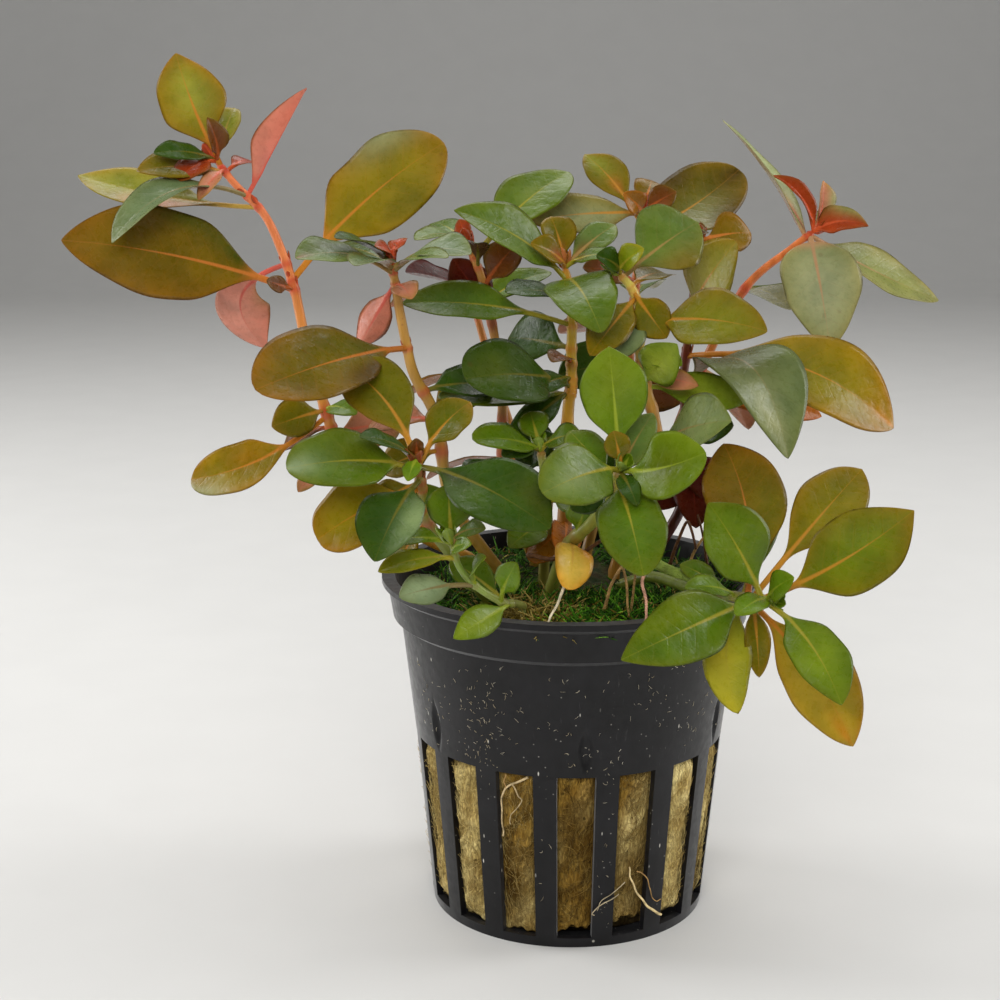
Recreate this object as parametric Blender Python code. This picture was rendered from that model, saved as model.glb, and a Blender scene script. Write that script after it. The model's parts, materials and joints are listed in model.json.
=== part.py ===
"""A young water primrose plant in a slotted net pot, as sold for an aquarium.

The pot stands at the origin with its underside on z = 0, and +Z is up. The front of the
plant faces -Y. Lengths are in millimetres, because that is how such a plant is measured,
and MM turns them into Blender's metres.
"""

import bmesh
import bpy
import numpy as np

MM = 0.001
GAP = 0.35  # clear air between two pieces that touch

RIM_RADIUS = 27.5
RIM_HEIGHT = 50.0
BASE_RADIUS = 20.2
WALL = 1.0
FLOOR = 1.0

SLOT_COUNT = 16
SLOT_ANGLE = np.radians(14.0)
SLOT_TURN = np.radians(1.0)
SLOT_TOP = 26.6
SLOT_FOOT = 1.5

WOOL_TOP = 46.0
WOOL_RADIUS_TOP = 22.0
MOSS_CENTRE = (1.0, -2.0)
MOSS_RADIUS = 22.0
MOSS_TOP = 49.6
MOSS_LUMPS = 0.25
MOSS_SINK = 1.2  # how far the cushion's edge lies under its middle
ROUND_SIDES = 24
STEM_FOOT = MOSS_TOP + MOSS_LUMPS + GAP

STALK_WIDTH = 0.9
LEAF_THICKNESS = 0.9
YOUNG_THICKNESS = 0.7
WIDEST = 0.52  # of a blade's length, from the stalk
FOLD = 0.18  # rise of a blade's edge over its half width
LEAF_STATIONS = (0.0, 0.16, 0.38, 0.62, 0.85)  # sections of a blade, as shares of its length
YOUNG_STATIONS = (0.25, 0.55, 0.85)
STEM_SIDES = 5
LEAST_SLANT = 0.45  # keeps a steep stalk's start from running far up its stem

BLACK_PLASTIC = (0.035, 0.033, 0.037)
WOOL_BROWN = (0.30, 0.22, 0.07)
MOSS_GREEN = (0.05, 0.12, 0.02)
GREEN = (0.10, 0.22, 0.03)
FRESH = (0.22, 0.42, 0.06)
DARK = (0.04, 0.11, 0.03)
GREY = (0.20, 0.28, 0.17)
OLIVE = (0.20, 0.22, 0.04)
BRONZE = (0.30, 0.20, 0.04)
PINK = (0.45, 0.15, 0.12)
ORANGE = (0.55, 0.20, 0.06)
MAROON = (0.15, 0.04, 0.04)


def leaf(at, tip, width, faces, name=None, stalk=2.0, arch=1.0, sweep=0.0, colour=GREEN):
    """One leaf of a shoot, as a row of its own.

    at is the place on the stem's route where it grows, counted in points. tip is where it
    ends. faces is the way its upper side looks. arch is how far its middle rises over the
    straight line between its ends, and sweep how far it bows to the right, seen from above
    with the tip ahead. A leaf with a name is full grown, and one without is a young leaf.
    """
    return {
        "at": at, "tip": tip, "width": width, "faces": faces, "name": name,
        "stalk": stalk, "arch": arch, "sweep": sweep, "colour": colour,
    }


# Each shoot is a stem through the points of its route, from its foot (x, y) on the moss, with
# its thickness at the foot and at the crown, and its leaves.
SHOOTS = {
    "tall_left": {
        "foot": (-14, 5),
        "route": [
            (-25.5, 7, 56), (-33.5, 8, 66.5), (-36, 8, 72.5), (-39, 10, 83), (-40.5, 11, 90),
            (-42.5, 12, 96), (-45, 13, 101), (-49, 14, 105), (-52, 15, 108.5),
        ],
        "thick": (1.9, 1.0),
        "colour": ORANGE,
        "leaves": [
            leaf(5, (-73, 4, 98), 13.5, (0, -0.95, 0.3), "leaf_tall_left_1", 6, 1, 1, BRONZE),
            leaf(7.3, (-65, 0, 98), 8.5, (-0.2, -0.4, 1), "leaf_tall_left_2", 6, 4, 0, GREY),
            leaf(7, (-74, 22, 106), 9, (0, -0.5, 0.9), "leaf_tall_left_3", 8, -1, 0, GREEN),
            leaf(8.7, (-58, 19, 124), 9.5, (0.2, -1, 0.2), "leaf_tall_left_4", 2, 1, -0.5,
                 OLIVE),
            leaf(7.6, (-39, 20, 119), 6.5, (-0.9, 0.5, 0.3), "leaf_tall_left_5", 3, 0, 0, PINK),
            leaf(5.6, (-46, 20, 80), 8.5, (0.1, 0.9, 0.4), "leaf_tall_left_6", 3, 0, -5, PINK),
            leaf(5.2, (-18.5, 18, 111), 14, (-0.3, -0.95, 0.3), "leaf_tall_left_7", 8, 1, -1,
                 OLIVE),
            leaf(2.9, (-56, 6, 62.5), 7.5, (0, -0.7, 0.7), "leaf_tall_left_8", 7, 1, -2.5, BRONZE),
            leaf(9, (-52, 11, 114), 4, (0.3, -1, 0)),
            leaf(9, (-50, 22, 116), 4, (0, -1, 0.2)),
            leaf(9, (-60, 8, 110), 4.5, (0.2, -0.6, 0.8)),
            leaf(8.5, (-62, 8, 108), 4.5, (0, -0.5, 1)),
            leaf(9, (-57, 8, 106), 4, (0, -0.5, 1)),
            leaf(8.5, (-47, 20, 108), 3.5, (0, -0.5, 1)),
            leaf(5, (-44, 6, 92), 2.5, (0, -1, 0.3), arch=0),
            leaf(3, (-43, 3, 71), 5, (0.2, -0.9, 0.4), arch=1),
            leaf(2.6, (-43, 12, 66), 5, (0, -0.6, 0.8), arch=1),
            leaf(2, (-40, 4, 61), 4, (0, -0.6, 0.8), arch=1),
            leaf(3, (-31, 2, 73), 4.5, (0, -0.6, 0.8), arch=1),
        ],
    },
    "left": {
        "foot": (-9, -7),
        "route": [
            (-17, -8, 62.5), (-19, -8, 74), (-22, -9, 80.5), (-23, -9.5, 84.5), (-24, -10, 90),
            (-24.5, -10, 93.5), (-25, -10, 96),
        ],
        "thick": (1.8, 1.1),
        "colour": ORANGE,
        "leaves": [
            leaf(6.5, (-37, -20, 98), 8, (0, -0.4, 1), "leaf_left_1", 2, 1.5, 0, OLIVE),
            leaf(6.6, (-14, -14, 98), 8, (0, -0.3, 1), "leaf_left_2", 2, 1.5, 0, GREY),
            leaf(4, (-41, -34, 83), 10, (0, -0.6, 0.8), "leaf_left_3", 7, 1.5, 0, OLIVE),
            leaf(7, (-32, -18, 100.5), 5.5, (0, -0.3, 1)),
            leaf(7, (-35, 4, 97), 6.5, (0, -0.3, 1)),
            leaf(7, (-27, -14, 99), 3, (0.5, -0.5, 1)),
            leaf(7, (-23, -8, 99.5), 3, (-0.5, -0.5, 0.5)),
            leaf(6, (-30, -6, 84), 5, (0, 0.9, 0.3), arch=-1),
            leaf(5.8, (-22, -15, 92), 4, (0, -0.6, 0.8)),
            leaf(2.6, (-11, -3, 78), 7, (0, -0.6, 0.8)),
            leaf(2, (-29, -1, 72), 6, (0, -0.6, 0.8)),
        ],
    },
    "mid_left": {
        "foot": (-5, 5),
        "route": [(-9.5, 5, 62.5), (-10, 4, 77.5), (-12.5, 2, 91.5), (-14.5, 2, 97)],
        "thick": (1.7, 1.0),
        "colour": ORANGE,
        "leaves": [
            leaf(2.8, (-24, 8, 93), 8, (0, 0.5, 0.85), "leaf_mid_left_1", 2, 1, 0, MAROON),
            leaf(3.7, (0, 14, 107), 9, (0, -0.5, 0.9), "leaf_mid_left_2", 3, 1.5, 0, GREEN),
            leaf(4, (-22, -6, 99), 5.5, (0, -0.3, 1), arch=1.5),
            leaf(4, (-20, 9, 100), 4.5, (0, -0.4, 1)),
            leaf(3.4, (-13.5, -5, 98.5), 4, (0, -1, 0.1)),
            leaf(3, (-8, 2, 97), 5, (-0.2, -1, 0.1)),
            leaf(4, (-16, 4, 101), 2.5, (0, -1, 0.2), arch=0),
        ],
    },
    "front_left": {
        "foot": (-12, -15),
        "route": [(-20, -22, 63), (-20.5, -26, 68.5), (-21, -28, 72.5)],
        "thick": (1.8, 1.2),
        "colour": GREEN,
        "leaves": [
            leaf(2.6, (-32, -18, 84), 8, (0.2, -0.8, 0.6), "leaf_front_left_1", 4, 1, 1.5, OLIVE),
            leaf(2.8, (-14, -26, 80), 6, (-0.3, -0.7, 0.7), "leaf_front_left_2", 1.5, 1, 0,
                 OLIVE),
            leaf(2.8, (-4, -42, 67), 9.5, (0.1, -0.7, 0.7), "leaf_front_left_3", 3, 2, 0, DARK),
            leaf(2.7, (-37, -37, 73.5), 8.5, (-0.1, -0.7, 0.7), "leaf_front_left_4", 2, 1.5, 0,
                 GREEN),
            leaf(2, (-34, -30, 62.5), 9, (-0.3, -0.8, 0.5), "leaf_front_left_5", 3, 1.5, 0,
                 BRONZE),
            leaf(2.3, (-26, -39, 62), 7.5, (-0.2, -0.9, 0.4), "leaf_front_left_6", 2, 1.5, 0,
                 DARK),
            leaf(3, (-28, -34, 77), 4, (0, -0.5, 1)),
            leaf(3, (-22, -33, 71), 2.5, (0, -0.8, 0.6)),
            leaf(3, (-21, -30, 76), 2, (0.2, -1, 0.2), arch=0),
        ],
    },
    "centre": {
        "foot": (-1, -1),
        "route": [
            (-0.5, -1, 72.5), (0, 0, 77.5), (0, 0, 83), (0, 0, 88.5), (-1, 0, 94.5),
        ],
        "thick": (1.9, 1.2),
        "colour": ORANGE,
        "leaves": [
            leaf(4.7, (-16, -8, 103), 8, (0, -0.45, 0.9), "leaf_centre_1", 2, 1.5, 0, GREEN),
            leaf(4.7, (2, -16, 88), 9, (0.1, -0.8, 0.6), "leaf_centre_2", 1.5, 2, 0, GREEN),
            leaf(3.6, (-24, -4, 90), 8, (0, -0.55, 0.85), "leaf_centre_3", 5, 1.5, 0, GREEN),
            leaf(2, (-15, -14, 81), 10.5, (-0.1, -0.75, 0.65), "leaf_centre_4", 5, 1.5, 0, DARK),
            leaf(4.2, (-9, -8, 91.5), 4.5, (0, -0.5, 1)),
            leaf(5, (-2, 4, 100), 4.5, (0.2, -1, 0.2)),
            leaf(5, (6, 8, 99), 5, (0, -0.4, 1)),
            leaf(5, (6, -3, 96), 4, (0, -0.5, 1)),
            leaf(1.6, (-17, -6, 75), 8, (0, -0.5, 0.9)),
            leaf(3, (-9, 10, 83), 8, (-0.3, -0.8, 0.5)),
            leaf(2.6, (-3, -6, 82), 4, (0, -0.5, 0.9)),
        ],
    },
    "mid_right": {
        "foot": (6.5, -0.5),
        "route": [
            (12, -2, 68.5), (10.5, -3, 78), (9.5, -3, 83.5), (10, -3, 86.5), (8.5, -3, 91.5),
            (6.5, -3, 94),
        ],
        "thick": (1.8, 1.1),
        "colour": ORANGE,
        "leaves": [
            leaf(5.8, (18, 4, 100), 10, (0, -0.85, 0.5), "leaf_mid_right_1", 1.5, 1, 0, GREEN),
            leaf(4, (26, -14, 87.5), 8.5, (0, -0.6, 0.8), "leaf_mid_right_2", 4, 2, 0, GREEN),
            leaf(1, (21, -18, 76), 8.5, (0, -0.9, 0.4), "leaf_mid_right_3", 2, 1.5, 0, GREY),
            leaf(6, (10, -8, 96.5), 3, (0, -0.6, 0.8)),
            leaf(6, (3.5, -8, 96), 3, (0, -0.6, 0.8)),
            leaf(5, (13, -9, 87), 5, (-0.3, -0.8, 0.4)),
            leaf(5.2, (14, 4, 93), 5, (-0.3, -0.6, 0.7)),
            leaf(4.8, (2, -13, 84), 6, (0.2, -0.7, 0.7)),
            leaf(4.4, (5.5, -10, 83), 5, (0.2, -0.7, 0.7)),
            leaf(3.3, (15, -12, 84), 5.5, (-0.2, -0.6, 0.8)),
            leaf(2.6, (15, -9, 81), 4, (-0.2, -0.6, 0.8)),
            leaf(2, (25, -3, 76), 5, (0, -0.6, 0.8)),
        ],
    },
    "back_top": {
        "foot": (3, 11),
        "route": [(8.5, 15, 73), (10, 17, 87.5), (11, 18, 100.5)],
        "thick": (1.7, 1.0),
        "colour": ORANGE,
        "leaves": [
            leaf(2.8, (3, 26, 109), 8, (0, -0.6, 0.8), "leaf_back_top_1", 2, 1, 0, OLIVE),
            leaf(2.8, (27.5, 35, 106), 11.5, (0.1, -0.7, 0.7), "leaf_back_top_2", 6, -2, 0,
                 OLIVE),
            leaf(3, (-6, 12, 100), 6.5, (0, -0.7, 0.7)),
            leaf(3, (8, 14, 104), 4, (0.2, -1, 0.2)),
            leaf(3, (16, 16, 103), 4, (-0.2, -1, 0.3)),
            leaf(3, (13, 25, 105), 4, (0, -1, 0.4)),
            leaf(2, (14, 29, 88), 7, (0, 0.5, 0.9), arch=1.5),
            leaf(1.6, (-1, 28, 81), 7.5, (0, 0.6, 0.8), arch=1.5),
        ],
    },
    "right": {
        "foot": (12.5, 7),
        "route": [(17, 8, 58), (18, 8, 66.5), (17, 9, 76), (18, 10, 87), (19, 12, 97)],
        "thick": (1.8, 1.0),
        "colour": MAROON,
        "leaves": [
            leaf(3, (30, -10, 69), 11.5, (0.3, -0.6, 0.75), "leaf_right_1", 5, 9, 0, GREY),
            leaf(3.4, (47, 2, 71), 10.5, (0.1, -0.7, 0.7), "leaf_right_2", 6, 6, 0, OLIVE),
            leaf(4, (23, 4, 98), 8, (-0.3, -0.8, 0.5)),
            leaf(5, (16, 6, 100), 5, (0, -0.6, 0.8)),
            leaf(5, (27, 14, 98), 6, (0, -0.8, 0.5)),
            leaf(3, (38, 11, 71), 6, (0.2, -0.8, 0.5), arch=2),
            leaf(2, (13, 2, 62), 6, (0, -0.6, 0.8)),
            leaf(2, (22, -1, 60), 6, (0, -0.7, 0.7)),
            leaf(2.6, (28, 19, 72), 7, (0.2, 0.5, 0.8), arch=1.5),
        ],
    },
    "far_right": {
        "foot": (9, 14),
        "route": [
            (15, 16, 63.5), (20.5, 18, 77), (27, 20, 89), (34, 21, 95), (37.5, 22, 97.5),
        ],
        "thick": (1.7, 1.0),
        "colour": ORANGE,
        "leaves": [
            leaf(4.8, (39, 12, 81), 11, (0, -0.9, 0.4), "leaf_far_right_1", 1.5, 1, 0, GREY),
            leaf(4.8, (58, 26, 86.5), 8.5, (0, -0.4, 0.9), "leaf_far_right_2", 2, -0.5, 0,
                 OLIVE),
            leaf(4.6, (24, 30, 114), 6, (-0.7, -0.1, 0.6)),
            leaf(5, (45, 20, 98.5), 4, (0, -0.7, 0.7)),
            leaf(5, (39, 24, 105), 4, (0.3, -1, 0.2)),
            leaf(5, (42, 29, 100), 4, (0, 0.3, 1)),
            leaf(3, (36, 33, 84), 8, (0.1, 0.5, 0.9), arch=1.5),
            leaf(2, (29, 26, 66), 7, (0.3, 0.4, 0.9), arch=1.5),
        ],
    },
    "front_centre": {
        "foot": (-3, -11),
        "route": [(-1, -15, 57.5), (2.5, -21, 63), (4.5, -27, 69), (5.5, -30, 72)],
        "thick": (2.0, 1.3),
        "colour": GREEN,
        "leaves": [
            leaf(3.8, (4, -24, 87), 9, (0, -0.95, 0.3), "leaf_front_centre_1", 1.5, 1, 0, FRESH),
            leaf(3.9, (-5, -42, 71.5), 8.5, (-0.1, -0.85, 0.5), "leaf_front_centre_2", 2, 1.5,
                 0, GREEN),
            leaf(3.9, (15.5, -38, 75.8), 7.5, (0.1, -0.7, 0.7), "leaf_front_centre_3", 1.5, 1, 1,
                 GREEN),
            leaf(3.3, (7.5, -44, 61.5), 8.5, (0, -0.85, 0.5), "leaf_front_centre_4", 2, 2, 0,
                 GREEN),
            leaf(4, (4.4, -30, 77), 3.5, (0, -1, 0.2)),
            leaf(3.7, (7, -38, 69), 3, (0, -0.8, 0.6)),
            leaf(3, (-1, -20, 75), 5, (0, -0.8, 0.6)),
            leaf(3, (10, -23, 78), 5, (-0.1, -0.8, 0.6)),
            leaf(0.4, (0, -22, 55), 5, (0, -0.9, 0.4), arch=1.5),
        ],
    },
    "front_right": {
        "foot": (7, -8),
        "route": [(11, -13, 52.8), (16, -19, 52.8), (21.5, -23, 52.8), (25.5, -27, 53.5)],
        "thick": (1.7, 1.2),
        "colour": GREEN,
        "leaves": [
            leaf(3.35, (21, -9, 71), 11, (-0.1, -0.85, 0.5), "leaf_front_right_1", 3, 1, 1.5,
                 BRONZE),
            leaf(3.8, (17, -28, 67), 8.5, (0.2, -0.8, 0.6), "leaf_front_right_2", 1.5, 1, 0,
                 GREEN),
            leaf(3.5, (40, -12, 68), 8.5, (0, -0.8, 0.6), "leaf_front_right_3", 6, 1.5, 0,
                 OLIVE),
            leaf(3.8, (44, -28, 66), 10, (0.1, -0.8, 0.6), "leaf_front_right_4", 5, 1, 1, GREEN),
            leaf(3.6, (5, -42, 50), 8.5, (0.1, -0.75, 0.65), "leaf_front_right_5", 3, 1.5, 0,
                 GREEN),
            leaf(3.8, (33, -42, 44), 8, (0.2, -0.85, 0.5), "leaf_front_right_6", 2, 1.5, -0.5,
                 GREEN),
            leaf(3.3, (37, -30, 34), 9, (0.1, -0.9, 0.4), "leaf_front_right_7", 4, 1, -1, BRONZE),
            leaf(3.2, (21, -34, 40), 6, (0, -0.9, 0.4), sweep=2),
            leaf(3.5, (24, -31, 44), 3.5, (0, -0.9, 0.4)),
            leaf(4, (28, -32, 58), 4, (-0.2, -0.8, 0.6)),
            leaf(4, (20, -36, 54), 4, (0, -0.6, 0.8)),
            leaf(3, (14, -30, 56), 4, (0, -0.6, 0.8)),
            leaf(2.7, (14, -22, 57), 4, (0, -0.6, 0.8)),
            leaf(3.2, (29, -8, 66), 4, (0, -0.9, 0.4)),
        ],
    },
    "rim_left": {
        "foot": (-7, -19),
        "route": [
            (-8, -22, 51.5), (-10, -24.5, 52.5), (-13.5, -27, 55.5), (-15.5, -29, 58.5),
            (-16.5, -30, 62),
        ],
        "thick": (1.2, 0.8),
        "colour": FRESH,
        "leaves": [
            leaf(3, (-23, -31, 55), 3.5, (0, -0.6, 0.8)),
            leaf(3, (-12, -33, 61), 3, (0, -0.7, 0.7)),
            leaf(5, (-25, -26, 61), 4, (0, -0.5, 1)),
            leaf(4.4, (-26, -33, 59), 4, (0, -0.5, 1)),
            leaf(5, (-16, -28, 70), 5, (0, -0.95, 0.3)),
            leaf(5, (-12, -34, 65), 3, (0, -0.6, 0.8)),
            leaf(2, (-8, -30, 59), 3.5, (0, -0.8, 0.6)),
            leaf(1.4, (-16, -32, 49), 4, (0.2, -0.8, 0.5)),
        ],
    },
    "inner": {
        "foot": (-4, -6),
        "route": [(-3.5, -8, 62.5), (-4.5, -9, 70)],
        "thick": (1.6, 1.2),
        "colour": GREEN,
        "leaves": [
            leaf(2, (-14, -16, 73), 5, (0, -0.6, 0.8)),
            leaf(2, (1, -13, 73), 4.5, (0, -0.6, 0.8)),
            leaf(2, (-6, -6, 75), 4.5, (0, -0.9, 0.3)),
            leaf(2, (-10, -13, 70), 4, (0, -0.6, 0.8)),
            leaf(1, (4, -14, 62), 5, (0, -0.6, 0.8)),
        ],
    },
    "back": {
        "foot": (-4, 17),
        "route": [(-7, 22, 62), (-11, 27, 74), (-14, 30, 84)],
        "thick": (1.7, 1.1),
        "colour": ORANGE,
        "leaves": [
            leaf(3, (-28, 36, 84), 8, (-0.3, 0.4, 0.9), arch=2),
            leaf(3, (-12, 45, 88), 8, (0, 0.4, 0.9), arch=2),
            leaf(3, (-2, 33, 90), 6.5, (0, -0.4, 0.9), arch=1.5),
            leaf(3, (-17, 26, 92), 5.5, (0, -0.8, 0.6)),
            leaf(2, (-26, 27, 70), 8, (-0.2, 0.3, 0.9), arch=2),
            leaf(2, (-6, 43, 70), 8, (0.1, 0.5, 0.8), arch=2),
            leaf(1, (-22, 30, 57), 7, (-0.2, 0.3, 0.9), arch=1.5),
            leaf(1, (5, 36, 60), 7, (0.2, 0.4, 0.9), arch=1.5),
        ],
    },
}


def clear_scene():
    """Removes every object that the file opened with."""
    for obj in list(bpy.data.objects):
        bpy.data.objects.remove(obj, do_unlink=True)


def make_material(name, colour, roughness=0.45):
    """A plain Principled material in one colour."""
    material = bpy.data.materials.new(name)
    material.use_nodes = True
    shader = material.node_tree.nodes["Principled BSDF"]
    shader.inputs["Base Color"].default_value = (*colour, 1.0)
    shader.inputs["Roughness"].default_value = roughness
    shader.inputs["Metallic"].default_value = 0.0
    return material


def make_object(name, points, faces, colour, roughness=0.45, crease=0.7):
    """A mesh object from points in millimetres, shaded smooth except over sharp edges."""
    mesh = bpy.data.meshes.new(name)
    mesh.from_pydata((np.asarray(points) * MM).tolist(), [], faces)
    mesh.shade_smooth()
    mesh.set_sharp_from_angle(angle=crease)
    mesh.materials.append(make_material(name, colour, roughness))
    obj = bpy.data.objects.new(name, mesh)
    bpy.context.scene.collection.objects.link(obj)
    return obj


def unit(vector):
    """The vector at length one."""
    vector = np.asarray(vector, dtype=float)
    return vector / np.linalg.norm(vector)


def route_point(route, place):
    """The point and the direction at a place on a smooth curve through the route's points.

    The curve is a Catmull-Rom spline: between two points it is the cubic whose end slopes
    are half the chord between each point's neighbours.
    """
    last = len(route) - 1
    start = min(int(place), last - 1)
    s = place - start
    p1 = route[start]
    p2 = route[start + 1]
    p0 = route[start - 1] if start > 0 else 2 * p1 - p2
    p3 = route[start + 2] if start + 2 <= last else 2 * p2 - p1
    bend = 2 * p0 - 5 * p1 + 4 * p2 - p3
    twist = -p0 + 3 * p1 - 3 * p2 + p3
    point = 0.5 * (2 * p1 + (p2 - p0) * s + bend * s**2 + twist * s**3)
    slope = 0.5 * ((p2 - p0) + 2 * bend * s + 3 * twist * s**2)
    return point, unit(slope)


def moss_height(x, y):
    """The height of the moss cushion: low lumps that sink towards its edge."""
    from_centre = np.hypot(x - MOSS_CENTRE[0], y - MOSS_CENTRE[1]) / MOSS_RADIUS
    lumps = MOSS_LUMPS * np.sin(0.55 * x + 1.0) * np.cos(0.5 * y)
    return MOSS_TOP + lumps - MOSS_SINK * from_centre**4


def turned_solid(name, profile, angles, centre, colour, roughness):
    """A solid turned about a vertical axis, from a profile that starts and ends on it."""
    radii = np.array([p[0] for p in profile[1:-1]])
    heights = np.array([p[1] for p in profile[1:-1]])
    rings = len(radii)
    count = len(angles)
    points = [(centre[0], centre[1], profile[0][1])]
    for ring in range(rings):
        for angle in angles:
            x = centre[0] + radii[ring] * np.cos(angle)
            y = centre[1] + radii[ring] * np.sin(angle)
            points.append((x, y, heights[ring]))
    points.append((centre[0], centre[1], profile[-1][1]))
    top = len(points) - 1
    faces = []
    for k in range(count):
        after = (k + 1) % count
        faces.append((0, 1 + after, 1 + k))
        for ring in range(rings - 1):
            low = 1 + ring * count
            high = low + count
            faces.append((low + k, low + after, high + after, high + k))
        last = 1 + (rings - 1) * count
        faces.append((last + k, last + after, top))
    return make_object(name, points, faces, colour, roughness)


def make_pot():
    """The net pot: a tapered cup with a lip, a collar band and slots between its ribs.

    The wall's outline is turned about Z at the angles of the slots' sides. Between the two
    sides of a slot the wall is left open, and the cut faces close it.
    """
    outer = [
        (RIM_RADIUS, RIM_HEIGHT), (RIM_RADIUS, 49.2), (26.6, 48.6), (25.9, 44.3), (24.7, 43.5),
        (22.7, SLOT_TOP), (20.4, SLOT_FOOT), (BASE_RADIUS, 0.0),
    ]
    inner = [
        (19.2, FLOOR), (19.4, SLOT_FOOT), (21.7, SLOT_TOP), (23.7, 43.2), (24.9, 44.6),
        (25.6, RIM_HEIGHT),
    ]
    outline = outer + inner
    slot_outer = (5, 6)
    slot_inner = (9, 10)
    pitch = 2 * np.pi / SLOT_COUNT
    angles = []
    for slot in range(SLOT_COUNT):
        middle = slot * pitch + SLOT_TURN - np.pi / 2
        angles += [middle - SLOT_ANGLE / 2, middle + SLOT_ANGLE / 2]
    count = len(angles)
    rows = len(outline)
    points = [(r * np.cos(a), r * np.sin(a), z) for a in angles for r, z in outline]
    foot = len(points)
    points.append((0.0, 0.0, 0.0))
    points.append((0.0, 0.0, FLOOR))
    faces = []
    for k in range(count):
        here = k * rows
        there = ((k + 1) % count) * rows
        in_slot = k % 2 == 0
        for row in range(rows):
            after = (row + 1) % rows
            if row == len(outer) - 1:
                faces.append((here + row, foot, there + row))
                faces.append((here + after, there + after, foot + 1))
                continue
            open_outside = row in slot_outer[:-1]
            open_inside = row in slot_inner[:-1]
            if in_slot and (open_outside or open_inside):
                continue
            faces.append((here + row, here + after, there + after, there + row))
        if in_slot:
            top_out, foot_out = slot_outer[0], slot_outer[-1]
            foot_in, top_in = slot_inner[0], slot_inner[-1]
            faces.append((here + top_out, here + top_in, there + top_in, there + top_out))
            faces.append((here + foot_out, there + foot_out, there + foot_in, here + foot_in))
            side = slot_outer + slot_inner
            faces.append(tuple(here + row for row in side[::-1]))
            faces.append(tuple(there + row for row in side))
    pot = make_object("pot", points, faces, BLACK_PLASTIC, 0.5, crease=0.5)
    shape = bmesh.new()
    shape.from_mesh(pot.data)
    bmesh.ops.recalc_face_normals(shape, faces=shape.faces)
    shape.to_mesh(pot.data)
    shape.free()
    return pot


def make_wool():
    """The plug of mineral wool that fills the pot to just under the moss."""
    inside = WALL + GAP
    profile = [
        (0.0, FLOOR + GAP), (19.2 - GAP - 0.1, FLOOR + GAP), (21.6 - inside, 14.0),
        (22.7 - inside, SLOT_TOP), (WOOL_RADIUS_TOP, 36.0), (WOOL_RADIUS_TOP, WOOL_TOP),
        (0.0, WOOL_TOP),
    ]
    angles = np.linspace(0, 2 * np.pi, ROUND_SIDES, endpoint=False)
    return turned_solid("rockwool", profile, angles, (0, 0), WOOL_BROWN, 0.95)


def make_moss():
    """The cushion of moss that has grown over the top of the wool."""
    profile = [
        (0.0, WOOL_TOP + GAP), (MOSS_RADIUS, WOOL_TOP + GAP), (MOSS_RADIUS, 1.0),
        (0.8 * MOSS_RADIUS, 1.0), (0.5 * MOSS_RADIUS, 1.0), (0.0, 1.0),
    ]
    angles = np.linspace(0, 2 * np.pi, ROUND_SIDES, endpoint=False)
    moss = turned_solid("moss", profile, angles, MOSS_CENTRE, MOSS_GREEN, 0.95)
    for vertex in moss.data.vertices:
        if vertex.co.z < WOOL_TOP * MM:
            vertex.co.z = moss_height(vertex.co.x / MM, vertex.co.y / MM) * MM
    return moss


def blade_width(s):
    """The width of a blade at s of its length, from 0 at the stalk to 1 at the tip.

    It is s to the power of one number times (1 - s) to the power of another, scaled to a
    widest value of 1. The two numbers put the widest place just past the middle.
    """
    tip_power = 0.85
    stalk_power = tip_power * WIDEST / (1 - WIDEST)
    return (s / WIDEST) ** stalk_power * ((1 - s) / (1 - WIDEST)) ** tip_power


def leaf_line(base, row):
    """The middle line of a leaf as a function of s from 0 to 1, and its way across.

    It is a parabola: the straight line from the base to the tip, and 4 s (1 - s) times the
    arch on the upper side and the sweep on the right.
    """
    tip = np.array(row["tip"], dtype=float)
    faces = np.array(row["faces"], dtype=float)
    reach = tip - base
    along = unit(reach)
    out = unit(faces - np.dot(faces, along) * along)
    across = np.cross(along, out)
    bow = out * row["arch"] + across * row["sweep"]

    def line(s):
        point = base + reach * s + bow * 4 * s * (1 - s)
        return point, unit(reach + bow * 4 * (1 - 2 * s))

    return line, out


def leaf_mesh(base, row, thickness, stations):
    """Points and faces of a thin closed leaf, from its stalk to its tip.

    Across it, both halves of the blade rise to the edge, as a shallow V. A section is four
    points: the left edge, the top of the midrib, the right edge and the underside.
    """
    line, out = leaf_line(base, row)
    stalk_share = row["stalk"] / np.linalg.norm(np.array(row["tip"]) - base)
    places = [0.0] + [stalk_share + (1 - stalk_share) * s for s in stations]
    points = []
    for place in places:
        blade = max(0.0, (place - stalk_share) / (1 - stalk_share))
        half = max(row["width"] / 2 * blade_width(blade), STALK_WIDTH / 2)
        middle, slope = line(place)
        side = unit(np.cross(slope, out))
        normal = np.cross(side, slope)
        edge = FOLD * (half - STALK_WIDTH / 2) * normal
        deep = normal * thickness / 2
        points += [middle - side * half + edge, middle + deep]
        points += [middle + side * half + edge, middle - deep]
    points.append(line(1.0)[0])
    last = len(points) - 1
    faces = [(3, 2, 1, 0)]
    for section in range(len(places) - 1):
        low = section * 4
        for corner in range(4):
            after = (corner + 1) % 4
            faces.append((low + corner, low + after, low + 4 + after, low + 4 + corner))
    low = last - 4
    for corner in range(4):
        faces.append((low + corner, low + (corner + 1) % 4, last))
    return points, faces


def stem_radius(route, thick, place):
    """The stem's radius at a place on its route."""
    share = place / (len(route) - 1)
    return 0.5 * (thick[0] + (thick[1] - thick[0]) * share)


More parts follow.
